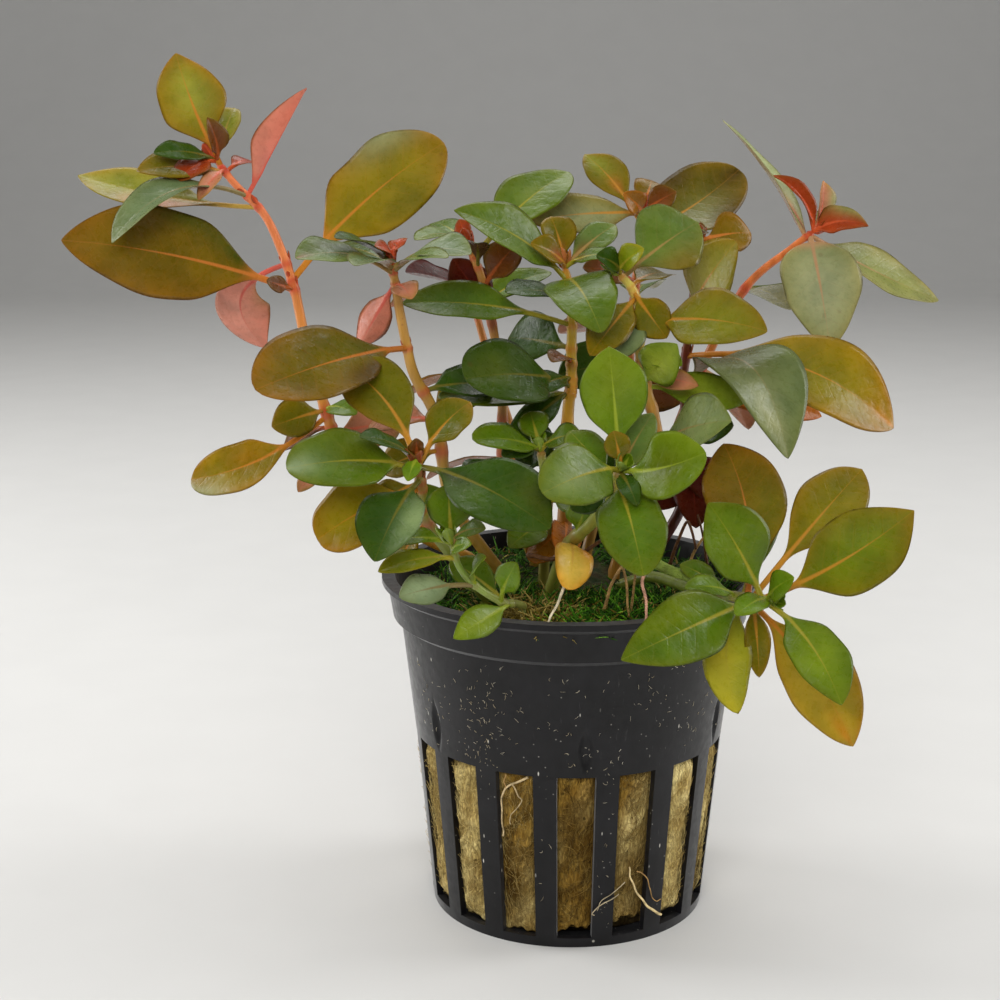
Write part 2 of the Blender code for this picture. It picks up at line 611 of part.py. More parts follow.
def make_stem(name, route, thick, colour):
    """A five-sided stem along its route, flat at its foot and tapered up to its crown."""
    last = len(route) - 1
    places = np.linspace(0, last, last + 2 if last > 4 else 2 * last + 1)
    points = []
    for place in places:
        point, slope = route_point(route, place)
        if place == 0:
            slope = np.array((0.0, 0.0, 1.0))
        side = unit(np.cross(slope, (0.3, 1.0, 0.1)))
        other = np.cross(slope, side)
        radius = stem_radius(route, thick, place)
        for k in range(STEM_SIDES):
            angle = 2 * np.pi * k / STEM_SIDES
            points.append(point + radius * (np.cos(angle) * side + np.sin(angle) * other))
    faces = [tuple(range(STEM_SIDES))[::-1]]
    for ring in range(len(places) - 1):
        low = ring * STEM_SIDES
        high = low + STEM_SIDES
        for k in range(STEM_SIDES):
            after = (k + 1) % STEM_SIDES
            faces.append((low + k, low + after, high + after, high + k))
    faces.append(tuple(range(len(points) - STEM_SIDES, len(points))))
    return make_object(name, points, faces, colour, 0.4, crease=1.2)


def leaf_start(route, thick, row):
    """Where a full-grown leaf's stalk begins: just clear of the stem, on its own line."""
    point, stem_way = route_point(route, row["at"])
    way = leaf_line(point, row)[0](0.0)[1]
    lean = abs(np.dot(way, stem_way))
    across = max(np.sqrt(1 - lean**2), LEAST_SLANT)
    clear = stem_radius(route, thick, row["at"]) + GAP + STALK_WIDTH / 2 * lean
    return point + way * clear / across


def make_shoot(name, shoot):
    """A stem with its young leaves grown on as one solid, and its full-grown leaves."""
    foot = (*shoot["foot"], STEM_FOOT)
    route = [np.array(p, dtype=float) for p in [foot] + shoot["route"]]
    thick = shoot["thick"]
    stem = make_stem("stem_" + name, route, thick, shoot["colour"])
    young = bpy.data.collections.new("young_" + name)
    bpy.context.scene.collection.children.link(young)
    for number, row in enumerate(shoot["leaves"]):
        if row["name"]:
            base = leaf_start(route, thick, row)
            shape = leaf_mesh(base, row, LEAF_THICKNESS, LEAF_STATIONS)
            make_object(row["name"], *shape, row["colour"])
            continue
        base = route_point(route, row["at"])[0]
        shape = leaf_mesh(base, row, YOUNG_THICKNESS, YOUNG_STATIONS)
        grown_on = make_object(f"young_{name}_{number}", *shape, shoot["colour"])
        bpy.context.scene.collection.objects.unlink(grown_on)
        young.objects.link(grown_on)
        grown_on.hide_render = True
        grown_on.display_type = "WIRE"
    union = stem.modifiers.new("young leaves", "BOOLEAN")
    union.operation = "UNION"
    union.operand_type = "COLLECTION"
    union.collection = young
    union.solver = "EXACT"


clear_scene()
make_pot()
make_wool()
make_moss()
for shoot_name, shoot_parts in SHOOTS.items():
    make_shoot(shoot_name, shoot_parts)
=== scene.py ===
"""The looks of a potted water primrose: net pot, mineral wool, moss, roots, stems and leaves.

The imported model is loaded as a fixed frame, and every piece is built around it in the same
place. Lengths are in millimetres, as such a plant is measured, and MM turns them into
Blender's metres. The front of the plant faces -Y, and +Z is up.
"""

import json

import bpy
import numpy as np
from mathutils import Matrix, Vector


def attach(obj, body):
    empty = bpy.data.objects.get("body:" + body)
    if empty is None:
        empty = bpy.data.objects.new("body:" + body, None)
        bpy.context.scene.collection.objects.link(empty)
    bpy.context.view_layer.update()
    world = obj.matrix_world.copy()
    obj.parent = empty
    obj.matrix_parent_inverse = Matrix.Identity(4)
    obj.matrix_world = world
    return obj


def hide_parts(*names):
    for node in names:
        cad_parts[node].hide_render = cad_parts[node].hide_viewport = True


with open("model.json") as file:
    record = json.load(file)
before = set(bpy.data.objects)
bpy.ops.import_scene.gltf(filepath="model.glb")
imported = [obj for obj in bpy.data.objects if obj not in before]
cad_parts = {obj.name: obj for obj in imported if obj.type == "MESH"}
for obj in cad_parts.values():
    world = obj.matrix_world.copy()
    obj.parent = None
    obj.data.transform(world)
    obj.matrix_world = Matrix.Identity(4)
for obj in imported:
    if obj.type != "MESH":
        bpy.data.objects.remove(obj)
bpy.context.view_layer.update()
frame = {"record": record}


# The net pot. One thin piece of black polypropylene, moulded in one shot: a lip, a collar
# band, a plain wall, and a lower wall of sixteen slots over a flat base. Its outside is worn
# satin, with lint, specks and six shallow marks of the mould.
MM = 0.001
WALL_TOP = 43.5
WALL_RADII = (20.4, 22.7, 24.7)  # outside, at the slots' foot, at their top and at the wall's top
WALL_THICK = 1.0  # the thickness of the wall and of the floor
LIP = [(27.5, 50.0), (27.5, 49.2), (26.6, 48.6), (25.9, 44.3), (WALL_RADII[2], WALL_TOP)]
LIP_INSIDE = [(23.7, 43.2), (24.9, 44.6), (25.6, 50.0)]
BASE_RADIUS = 20.2
FLOOR_RADIUS = 19.2
HUB_RADIUS = 10.0  # inside it the base and the floor are plain triangles
WALL_RINGS = [*np.linspace(43.0, 35.0, 6), *np.linspace(34.0, 28.0, 11), 27.2]  # heights
SLOT_RINGS = 12
SLOT_COUNT = 16
SLOT_PITCH = 360.0 / SLOT_COUNT
SLOT_FIRST = -89.0  # degrees, the middle of the slot nearest the front
SLOT_HALF = 7.0
SLOT_TOP = 26.6
SLOT_FOOT = 1.5
MARK_FIRST = -86.0  # degrees, the middle of the first mould mark
MARK_PITCH = 60.0
MARK_REACH = 2.8  # degrees, and over which the pot's grid is finer
MARK_HEIGHT = 30.8
MARK_HALF_HEIGHT = 3.6
MARK_HALF_WIDTH = 1.1
MARK_DEPTH = 0.7
EDGE_ROUND = 0.16
EDGE_ANGLE = 32.0  # degrees, the least bend that is rounded
POT_DARK = (9, 8, 10)
POT_LIGHT = (18, 17, 20)
RUB_GREY = (96, 94, 96)
DUST_GREY = (150, 146, 140)
LINT_WHITE = (206, 202, 192)
GRIT_GREY = (176, 172, 160)


def ink(red, green, blue):
    """A colour as it is seen on a screen, 0 to 255 a channel, in Blender's linear values."""
    share = np.array((red, green, blue)) / 255
    return np.where(share <= 0.04045, share / 12.92, ((share + 0.055) / 1.055) ** 2.4)


def solid(colour):
    """A colour as it is seen, in the form that a shader's socket takes."""
    return (*ink(*colour), 1)


def add_object(name, data):
    """An object with its mesh, light or camera, in the scene."""
    made = bpy.data.objects.new(name, data)
    bpy.context.scene.collection.objects.link(made)
    return made


def make_piece(name, points, faces, materials, slot, nodes=(), layers=None):
    """A mesh piece from points in millimetres and a list of arrays of faces, one face a row.

    layers holds named arrays of one colour or one vector a point. The piece rides on the
    plant's one body and stands for the CAD nodes in nodes.
    """
    mesh = bpy.data.meshes.new(name)
    corners = np.concatenate([part.ravel() for part in faces])
    sizes = np.concatenate([np.full(len(part), part.shape[1]) for part in faces])
    mesh.vertices.add(len(points))
    mesh.vertices.foreach_set("co", (points * MM).astype(np.float32).ravel())
    mesh.loops.add(len(corners))
    mesh.loops.foreach_set("vertex_index", corners.astype(np.int32))
    mesh.polygons.add(len(sizes))
    mesh.polygons.foreach_set("loop_start", (np.cumsum(sizes) - sizes).astype(np.int32))
    mesh.update(calc_edges=True)
    mesh.validate()
    mesh.shade_smooth()
    for key, values in (layers or {}).items():
        kind, field = ("COLOR", "color") if values.shape[1] == 4 else ("VECTOR", "vector")
        layer = mesh.attributes.new(key, "FLOAT_" + kind, "POINT")
        layer.data.foreach_set(field, values.astype(np.float32).ravel())
    for material in materials:
        mesh.materials.append(material)
    piece = add_object(name, mesh)
    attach(piece, "root")
    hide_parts(*nodes)
    return piece


def fan(ring, hub, downward=False):
    """Triangles from each step round a ring of point numbers to one point in its middle."""
    ends = [ring, np.roll(ring, -1)]
    return np.column_stack([*(ends[::-1] if downward else ends), np.full(len(ring), hub)])


def turned(radius, turn, height):
    """Points at a radius, an angle in radians and a height about the pot's axis."""
    return np.stack([radius * np.cos(turn), radius * np.sin(turn), height], axis=-1)


def plug(tree, node, inputs):
    """Fills a node's inputs from pairs of a socket and a value, or a socket to link it to."""
    for key, value in inputs:
        if isinstance(value, bpy.types.NodeSocket):
            tree.links.new(value, node.inputs[key])
        else:
            node.inputs[key].default_value = value


def add_node(tree, kind, inputs=(), **settings):
    """A shader node with its settings and its inputs."""
    node = tree.nodes.new(kind)
    for key, value in settings.items():
        setattr(node, key, value)
    plug(tree, node, inputs)
    return node


def blend_colour(tree, share, first, second, mode="MIX"):
    """The socket of a colour that goes from the first to the second as share goes to 1."""
    pairs = [(0, share), (6, first), (7, second)]
    return add_node(tree, "ShaderNodeMix", pairs, data_type="RGBA", blend_type=mode).outputs[2]


def maths(tree, operation, *values):
    """The socket of a Math node on one or more values."""
    return add_node(tree, "ShaderNodeMath", enumerate(values), operation=operation).outputs[0]


def scaled(tree, colour, *factors):
    """The socket of a colour with its red, green and blue multiplied by three factors."""
    return blend_colour(tree, 1.0, colour, (*factors, 1), "MULTIPLY")


def cover(tree, colour, layers):
    """The socket of a colour with other colours laid over it in turn, each by its mask and share."""
    for mask, share, tint in layers:
        colour = blend_colour(tree, maths(tree, "MULTIPLY", mask, share), colour, tint)
    return colour


def ramp(tree, value, low, high, start=0.0, end=1.0):
    """A socket that goes smoothly from start to end as the value goes from low to high."""
    pairs = enumerate((value, low, high, start, end))
    return add_node(tree, "ShaderNodeMapRange", pairs, interpolation_type="SMOOTHSTEP").outputs[0]


def stretch(tree, place, scale, rotation=(0, 0, 0)):
    """The socket of a place that is turned and then scaled along its three directions."""
    pairs = [("Vector", place), ("Rotation", rotation), ("Scale", scale)]
    return add_node(tree, "ShaderNodeMapping", pairs).outputs[0]


def noise(tree, place, scale, detail, distortion=0.0):
    """The socket of a noise pattern, 0 to 1."""
    pairs = [("Vector", place), ("Scale", scale), ("Detail", detail), ("Distortion", distortion)]
    return add_node(tree, "ShaderNodeTexNoise", pairs).outputs["Fac"]


def make_group(name, numbers, outputs):
    """An empty shader group and its inputs, which are a vector and named numbers."""
    tree = bpy.data.node_groups.new(name, "ShaderNodeTree")
    tree.interface.new_socket(name="Vector", in_out="INPUT", socket_type="NodeSocketVector")
    for socket, value in numbers:
        made = tree.interface.new_socket(name=socket, in_out="INPUT", socket_type="NodeSocketFloat")
        made.default_value = value
    for socket in outputs:
        tree.interface.new_socket(name=socket, in_out="OUTPUT", socket_type="NodeSocketFloat")
    return tree, tree.nodes.new("NodeGroupInput").outputs


def make_mottle():
    """Group: two layers of soft noise, a broad one and one five times finer, each 0 to 1."""
    tree, given = make_group("mottle", [("Scale", 300.0)], ("Broad", "Fine"))
    broad = noise(tree, given["Vector"], given["Scale"], 3.0)
    fine = noise(tree, given["Vector"], maths(tree, "MULTIPLY", given["Scale"], 5.0), 2.0)
    pairs = [("Broad", ramp(tree, broad, 0.3, 0.7)), ("Fine", ramp(tree, fine, 0.25, 0.75))]
    add_node(tree, "NodeGroupOutput", pairs)
    return tree


def make_specks():
    """Group: sparse round specks. A cell of a Voronoi pattern has one if its random number is
    under Amount, and the speck reaches Size of a cell's width."""
    numbers = [("Scale", 1000.0), ("Amount", 0.1), ("Size", 0.2)]
    tree, given = make_group("specks", numbers, ("Mask",))
    pairs = [("Vector", given["Vector"]), ("Scale", given["Scale"])]
    cells = add_node(tree, "ShaderNodeTexVoronoi", pairs).outputs
    chance = add_node(tree, "ShaderNodeSeparateColor", [("Color", cells["Color"])]).outputs["Red"]
    chosen = maths(tree, "LESS_THAN", chance, given["Amount"])
    reach = maths(tree, "MULTIPLY", given["Size"], 0.5)
    pairs = enumerate((cells["Distance"], reach, given["Size"], 1.0, 0.0))
    near = add_node(tree, "ShaderNodeMapRange", pairs).outputs[0]
    add_node(tree, "NodeGroupOutput", [("Mask", maths(tree, "MULTIPLY", chosen, near))])
    return tree


mottle_group = make_mottle()
specks_group = make_specks()


def mottle(tree, place, scale):
    """The mottle group placed in a material, as its outputs."""
    pairs = [("Vector", place), ("Scale", scale)]
    return add_node(tree, "ShaderNodeGroup", pairs, node_tree=mottle_group).outputs


def specks(tree, place, scale, amount, size):
    """The specks group placed in a material, as its mask."""
    pairs = [("Vector", place), ("Scale", scale), ("Amount", amount), ("Size", size)]
    return add_node(tree, "ShaderNodeGroup", pairs, node_tree=specks_group).outputs["Mask"]


def start_material(name):
    """A new material, with its tree, its Principled shader and the socket of a place in metres."""
    material = bpy.data.materials.new(name)
    material.use_nodes = True
    tree = material.node_tree
    place = tree.nodes.new("ShaderNodeTexCoord").outputs["Object"]
    return material, tree, tree.nodes["Principled BSDF"], place


def bump(tree, height, depth, strength=1.0):
    """A height of 0 to 1 as the socket of a normal, for relief that is depth millimetres deep."""
    pairs = [("Height", height), ("Distance", depth * MM), ("Strength", strength)]
    return add_node(tree, "ShaderNodeBump", pairs).outputs["Normal"]


def make_pot_plastic():
    """Charcoal plastic: faint cloudy wear, upright rub marks, grey dust, white lint and grit."""
    material, tree, shader, place = start_material("pot_black_plastic")
    cloud = mottle(tree, place, 160.0)
    rub = ramp(tree, noise(tree, stretch(tree, place, (9, 9, 1)), 260.0, 4.0), 0.66, 0.80)
    gathered = ramp(tree, mottle(tree, place, 62.0)["Broad"], 0.35, 0.65)
    dust = maths(tree, "MULTIPLY", specks(tree, place, 1000.0, 0.50, 0.13), gathered)
    drawn = stretch(tree, place, (1, 1, 0.3), (0.4, 0.9, 0.6))
    lint = maths(tree, "MULTIPLY", specks(tree, drawn, 900.0, 0.45, 0.11), gathered)
    grit = specks(tree, place, 330.0, 0.06, 0.08)
    colour = blend_colour(tree, cloud["Broad"], solid(POT_DARK), solid(POT_LIGHT))
    colour = cover(tree, colour, [
        (rub, 0.2, solid(RUB_GREY)), (dust, 0.7, solid(DUST_GREY)),
        (lint, 0.9, solid(LINT_WHITE)), (grit, 0.8, solid(GRIT_GREY)),
    ])
    relief = maths(tree, "ADD", maths(tree, "MULTIPLY", cloud["Fine"], 0.5), rub)
    plug(tree, shader, [
        ("Base Color", colour), ("Roughness", ramp(tree, cloud["Fine"], 0.0, 1.0, 0.34, 0.46)),
        ("Specular IOR Level", 0.34), ("Sheen Weight", 0.34), ("Sheen Roughness", 0.3),
        ("Normal", bump(tree, relief, 0.03, 0.6)),
    ])
    return material


def pot_radius(z):
    """The outer radius of the pot's wall: one slope over the slots and another beside them."""
    return np.interp(z, (SLOT_FOOT, SLOT_TOP, WALL_TOP), WALL_RADII)


def off_nearest(angle, first, pitch):
    """The way in degrees from the nearest of the angles that lie pitch apart."""
    return (angle - first + pitch / 2) % pitch - pitch / 2


def pot_columns():
    """The angles of the pot's grid in degrees, and whether each strip after one is in a slot."""
    middles = SLOT_FIRST + SLOT_PITCH * np.arange(SLOT_COUNT)[:, None]
    slots = middles + np.linspace(-SLOT_HALF, SLOT_HALF, 7)
    ribs = middles + np.linspace(SLOT_HALF, SLOT_PITCH - SLOT_HALF, 5)[1:-1]
    marks = MARK_FIRST + np.arange(0, 360, MARK_PITCH)[:, None]
    marks = marks + np.linspace(-MARK_REACH, MARK_REACH, 11)
    angles = np.unique(np.concatenate([a.ravel() % 360 for a in (slots, ribs, marks)]).round(3))
    after = np.roll(angles, -1)
    centres = (angles + after + 360 * (after < angles)) / 2
    return angles, np.abs(off_nearest(centres, SLOT_FIRST, SLOT_PITCH)) < SLOT_HALF


def make_pot():
    """The pot as its outline turned about Z, with the slots left open and their cut walls closed.

    A mould mark is a lens pressed into the wall: its depth is 1 less the square of the way
    across over the lens's own half width there, and that width is 1 less the square of the
    way up. The rings are closest together beside the marks.
    """
    angles, in_slot = pot_columns()
    heights = np.concatenate([WALL_RINGS, np.linspace(SLOT_TOP, SLOT_FOOT, SLOT_RINGS)])
    outer = LIP + [(pot_radius(z), z) for z in heights] + [(BASE_RADIUS, 0.0), (HUB_RADIUS, 0.0)]
    inner = [(HUB_RADIUS, WALL_THICK), (FLOOR_RADIUS, WALL_THICK)]
    inner += [(pot_radius(z) - WALL_THICK, z) for z in heights[::-1]]
    outline = np.array(outer + inner + LIP_INSIDE)
    rows = len(outline)
    radius, height = (np.tile(part, (len(angles), 1)) for part in outline.T)
    off_mark = off_nearest(angles, MARK_FIRST, MARK_PITCH)[:, None]
    across = np.radians(off_mark) * radius
    upright = np.clip(1 - ((height - MARK_HEIGHT) / MARK_HALF_HEIGHT) ** 2, 0, None)
    lens = np.clip(1 - (across / (MARK_HALF_WIDTH * upright + 1e-6)) ** 2, 0, None)
    steps = np.arange(rows)
    radius -= MARK_DEPTH * lens * upright * (steps < len(outer))
    grid = turned(radius, np.radians(angles)[:, None], height)
    points = np.vstack([grid.reshape(-1, 3), [(0, 0, 0)], [(0, 0, WALL_THICK)]])

    here = np.arange(len(angles))[:, None] * rows
    there = np.roll(here, -1, axis=0)
    after = (steps + 1) % rows
    quads = np.stack([here + steps, here + after, there + after, there + steps], axis=-1)
    first = len(LIP) + len(WALL_RINGS)
    last = first + SLOT_RINGS - 1
    last_outer = len(outer) - 1
    low_in = last_outer + 3
    high_in = low_in + SLOT_RINGS - 1
    cut = ((steps >= first) & (steps < last)) | ((steps >= low_in) & (steps < high_in))
    kept = ~(in_slot[:, None] & cut) & (steps != last_outer)
    h, t = here[in_slot, 0], there[in_slot, 0]
    tops = np.column_stack([h + first, h + high_in, t + high_in, t + first])
    feet = np.column_stack([h + last, t + last, t + low_in, h + low_in])
    out_row = np.arange(first, last)
    in_row = high_in - (out_row - first)
    strip = np.column_stack([out_row, out_row + 1, in_row - 1, in_row])
    starts = here[in_slot & ~np.roll(in_slot, 1)][..., None]
    ends = there[in_slot & ~np.roll(in_slot, -1)][..., None]
    sides = [(starts + strip).reshape(-1, 4), (ends + strip[:, ::-1]).reshape(-1, 4)]
    under = fan(here[:, 0] + last_outer, len(points) - 2, downward=True)
    floor = fan(here[:, 0] + last_outer + 1, len(points) - 1)
    faces = [quads[kept], tops, feet, *sides, under, floor]
    pot = make_piece("net_pot", points, faces, [make_pot_plastic()], "pot_plastic", ["pot"])
    edge = pot.modifiers.new("rounded edges", "BEVEL")
    edge.width = EDGE_ROUND * MM
    edge.segments = 2
    edge.limit_method = "ANGLE"
    edge.angle_limit = np.radians(EDGE_ANGLE)
    edge.harden_normals = True


make_pot()


# The mineral wool. A plug of spun rock fibre that fills the pot and swells out a little between
# the ribs: straw-coloured where it is dry, at the sides, and brown and pitted where it is wet, at
# the front. Its hollows, its pits and the gap at its foot are darkened by painted shade. Loose
# fibres stand out of every slot, and shed ones cling to the outside of the pot.
WOOL_FOOT = 1.4
WOOL_TOP = 46.0
WOOL_GAP = 0.42  # between a rib and the wool behind it
WOOL_SWELL = 1.05  # of the wool in a dry slot
WOOL_RELIEF = 0.30
# The straw and the tan are the lit colours of dry and wet wool, the sand and the brown their copies in
# painted shade, and the pit colour is the painted shade of pits and holes.
WOOL_STRAW = ink(224, 208, 150)
WOOL_SAND = ink(186, 166, 106)
WOOL_TAN = ink(146, 118, 56)
WOOL_BROWN = ink(66, 46, 17)
WOOL_PIT_SHADE = ink(26, 19, 9)
WET_SLOTS = {0: 1.0, 15: 0.72, 1: 0.88, 2: 0.0, 14: 0.08}  # how wet each of these slots is
BACK_SLOT = 0.2  # and every other one
FELT_SIZE = (256, 1536)  # the cells of a tile of felt, up the plug and round it
FELT_HEIGHT = 27.6  # the height that a tile covers
FIBRES_A_SLOT = 330
FIBRE_SPREAD = 6.0  # degrees, how far from a slot's middle a fibre's own middle may be
FIBRE_LENGTHS = (1.0, 5.5)
FIBRE_WIDTHS = (0.035, 0.09)
FIBRE_HEADING = (np.pi / 2, 0.85)  # radians from level, the middle and the spread
FIBRE_BEND = 1.2  # radians, the spread of what a fibre turns by from end to end
FIBRE_LIFT = 0.7  # the most that a fibre's far end rises off the wool
FIBRE_RADIUS = 21.0  # the round that the fibres in the slots lie on
SHED_SPREAD = (7.0, 3.2)  # degrees round the pot, and millimetres up it
SHED_LENGTHS = (0.10, 0.85)
SHED_WIDTHS = (0.035, 0.08)
SHED_BEND = 0.8  # radians, the spread of what a shed fibre turns by
SHED_TOP = 42.5
SHED_TINT = ink(222, 218, 208)
SHED_PLACES = [  # the angle, the height and the number of the shed fibres
    (-119, 36.0, 70), (-122, 30.0, 50), (-79, 25.0, 30), (-79, 17.0, 26), (-80, 10.0, 26),
    (-64, 38.5, 30), (-42, 33.0, 20), (-96, 40.0, 12), (-90, 32.0, 16), (-102, 15.0, 14),
    (-145, 34.0, 30), (-20, 36.0, 20), (30, 34.0, 40), (75, 30.0, 50), (110, 37.0, 40),
    (150, 31.0, 50), (55, 14.0, 30), (170, 18.0, 30),
]


def felt(lean, length, width, seed):
    """A tiling field of matted fibres, with a spread of 1.

    It is white noise blurred in frequency space, by length cells along the fibres' lean, an
    angle in radians from level, and by width cells across it.
    """
    rows, columns = FELT_SIZE
    grain = np.random.default_rng(seed).standard_normal((rows, columns))
    up = np.fft.fftfreq(rows)[:, None]
    round_ = np.fft.fftfreq(columns)[None, :]
    along = round_ * np.cos(lean) + up * np.sin(lean)
    across = up * np.cos(lean) - round_ * np.sin(lean)
    blur = np.exp(-2 * np.pi**2 * ((along * length) ** 2 + (across * width) ** 2))
    field = np.fft.ifft2(np.fft.fft2(grain) * blur).real
    return field / field.std()


def slot_number(angle):
    """The nearest slot to an angle in degrees, and the way from its middle in degrees."""
    turns = (angle - SLOT_FIRST) / SLOT_PITCH
    nearest = np.round(turns)
    return nearest.astype(int) % SLOT_COUNT, (turns - nearest) * SLOT_PITCH


def wetness(angle):
    """How wet the wool is at an angle, from its slot's own number."""
    table = np.array([WET_SLOTS.get(k, BACK_SLOT) for k in range(SLOT_COUNT)])
    return table[slot_number(angle)[0]]


def wool_foot(angle, z):
    """1 under the ragged foot line of the wool and 0 over it: three sines round the plug."""
    turn = np.radians(angle)
    line = WOOL_FOOT + 0.9 + 1.1 * np.sin(3 * turn - np.pi / 2)
    line += 0.4 * np.sin(31 * turn) + 0.25 * np.sin(83 * turn)
    return np.clip((line - z) / 0.7 + 0.5, 0, 1)


def wool_surface(angle, z, relief):
    """The wool's radius: the pot's inner wall behind a rib, and swollen out in a slot.

    The swelling is 1 less the fourth power of the way to the slot's side, and the wet slots
    have less of it. At its ragged foot the plug has shrunk back from the slots.
    """
    off = slot_number(angle)[1] / SLOT_HALF
    swell = np.clip(1 - off**4, 0, None) * (1.0 - 0.55 * wetness(angle))
    ends = np.clip((z - WOOL_FOOT) / 2.5, 0, 1) * np.clip((SLOT_TOP + 0.5 - z) / 2.0, 0, 1)
    plain = pot_radius(z) - WALL_THICK - WOOL_GAP
    matted = WOOL_RELIEF * relief * np.clip(1.3 - off**4, 0.2, 1) * (np.abs(off) < 1.1)
    return plain + (WOOL_SWELL * swell + matted) * ends - 1.3 * wool_foot(angle, z)


def wool_colours(angle, light, damp_shift):
    """Straw to brown by wetness, with painted shade: towards a darker copy as the light falls, and down
    to the dark of a pit where light is low.
    """
    wet = np.clip(wetness(angle) + damp_shift, 0, 1)[..., None]
    base = WOOL_STRAW * (1 - wet) + WOOL_TAN * wet
    deep = WOOL_SAND * (1 - wet) + WOOL_BROWN * wet
    light = np.clip(light, 0, 1)[..., None]
    colour = deep * (1 - light) + base * light
    pit = np.clip(0.28 - light, 0, 0.28) / 0.28 * (0.35 + 0.65 * wet)
    return colour * (1 - pit) + WOOL_PIT_SHADE * pit


def with_alpha(colours, alpha=1.0):
    """Colours with a fourth channel."""
    return np.concatenate([colours, np.broadcast_to(alpha, colours.shape[:-1])[..., None]], -1)


def make_tinted(name, form, material, slot, nodes, tint):
    """A piece whose material reads one colour a point from it."""
    layers = {"fibre_tint": with_alpha(tint.reshape(-1, 3))}
    make_piece(name, *form, [material], slot, nodes, layers)


def read_layer(tree, name):
    """What a piece's mesh holds under a name, as the outputs of an Attribute node."""
    return add_node(tree, "ShaderNodeAttribute", attribute_name=name).outputs


def make_wool_material():
    """Matted fibre: its colour from the mesh, streaked by fine noise along the fibres, with small holes
    painted dark as shade.
    """
    material, tree, shader, place = start_material("mineral_wool_fibre")
    tint = read_layer(tree, "fibre_tint")["Color"]
    leaning = stretch(tree, place, (1.6, 1.6, 0.35), (0.5, 0.3, 0.2))
    streak = ramp(tree, noise(tree, leaning, 2600.0, 4.0, 0.6), 0.30, 0.70)
    dark = scaled(tree, tint, 0.56, 0.50, 0.42)
    colour = blend_colour(tree, streak, dark, scaled(tree, tint, 1.30, 1.28, 1.16))
    deeper = scaled(tree, colour, 0.74, 0.66, 0.52)
    colour = blend_colour(tree, mottle(tree, place, 330.0)["Broad"], deeper, colour)
    # Painted shade: small holes in the felt turn dark.
    hole_shade = specks(tree, place, 1300.0, 0.10, 0.40)
    colour = cover(tree, colour, [(hole_shade, 0.6, (*WOOL_PIT_SHADE, 1))])
    plug(tree, shader, [
        ("Base Color", colour), ("Roughness", 0.9), ("Specular IOR Level", 0.15),
        ("Normal", bump(tree, streak, 0.14)),
    ])
    return material


def ring_quads(rings, columns):
    """The faces of a tube, from each ring of points to the next, where a ring has columns points."""
    low = np.arange(rings - 1)[:, None] * columns
    k = np.arange(columns)
    after = (k + 1) % columns
    quads = np.stack([low + k, low + after, low + columns + after, low + columns + k], axis=-1)
    return quads.reshape(-1, 4)


def closed_tube(rings, columns, start_hub):
    """A tube of rings closed by a fan at both ends, to two points in a row from start_hub on."""
    ring = np.arange(columns)
    under = fan(ring, start_hub, downward=True)
    return [ring_quads(rings, columns), under, fan((rings - 1) * columns + ring, start_hub + 1)]


def thread_forms(paths, thickness, sides):
    """Closed tubes along many paths at once: their points and their faces.

    paths is one row of points a thread, and thickness a number a thread and a point. Each ring
    is a circle on two ways across the thread, and both ends are capped.
    """
    count, steps = paths.shape[:2]
    along = np.gradient(paths, axis=1)
    along /= np.linalg.norm(along, axis=2, keepdims=True) + 1e-9
    guide = np.cross(paths[:, -1] - paths[:, 0], (0.31, 0.52, 0.79))
    guide /= np.linalg.norm(guide, axis=1, keepdims=True) + 1e-9
    side = np.cross(along, guide[:, None, :])
    side /= np.linalg.norm(side, axis=2, keepdims=True) + 1e-9
    turn = 2 * np.pi * np.arange(sides)[:, None] / sides
    ring = np.cos(turn) * side[:, :, None] + np.sin(turn) * np.cross(along, side)[:, :, None]
    points = paths[:, :, None] + ring * (thickness / 2)[:, :, None, None]
    start = (np.arange(count) * steps * sides)[:, None]
    quads = start[..., None] + ring_quads(steps, sides)
    caps = start + np.arange(sides)
    far_caps = caps + (steps - 1) * sides
    return points.reshape(-1, 3), [quads.reshape(-1, 4), caps[:, ::-1], far_caps]


def slot_fibres(seed):
    """Loose fibres over the wool in the slots: short arcs that lie on it and lift at one end."""
    rng = np.random.default_rng(seed)
    steps = 6
    centre = np.repeat(SLOT_FIRST + SLOT_PITCH * np.arange(SLOT_COUNT), FIBRES_A_SLOT)[:, None]
    count = len(centre)
    middle = centre + rng.uniform(-FIBRE_SPREAD, FIBRE_SPREAD, count)[:, None]
    height = rng.uniform(SLOT_FOOT + 0.8, SLOT_TOP - 0.6, count)[:, None]
    heading = rng.normal(*FIBRE_HEADING, count)[:, None]
    length = rng.uniform(*FIBRE_LENGTHS, count)[:, None]
    bend = rng.normal(0, FIBRE_BEND, count)[:, None]
    s = np.linspace(-0.5, 0.5, steps)
    way = heading + bend * s
    across = np.cumsum(np.cos(way), axis=1) * (length / steps)
    up = np.cumsum(np.sin(way), axis=1) * (length / steps)
    z = np.clip(height + up, SLOT_FOOT + 0.2, SLOT_TOP - 0.2)
    room = SLOT_HALF - 0.3
    angle = centre + np.clip(middle + np.degrees(across / FIBRE_RADIUS) - centre, -room, room)
    lift = 0.04 + FIBRE_LIFT * rng.random(count)[:, None] ** 3 * (s + 0.5) ** 2
    paths = turned(wool_surface(angle, z, 0.7) + lift, np.radians(angle), z)
    thickness = np.outer(rng.uniform(*FIBRE_WIDTHS, count), 1 - 0.6 * np.abs(2 * s) ** 3)
    light = np.repeat(rng.uniform(0.1, 1.3, count), steps * 3).reshape(count, -1)
    colours = wool_colours(np.repeat(angle, 3, axis=1), light, -0.12)
    return paths, thickness, colours * rng.uniform(0.8, 1.25, count)[:, None, None]


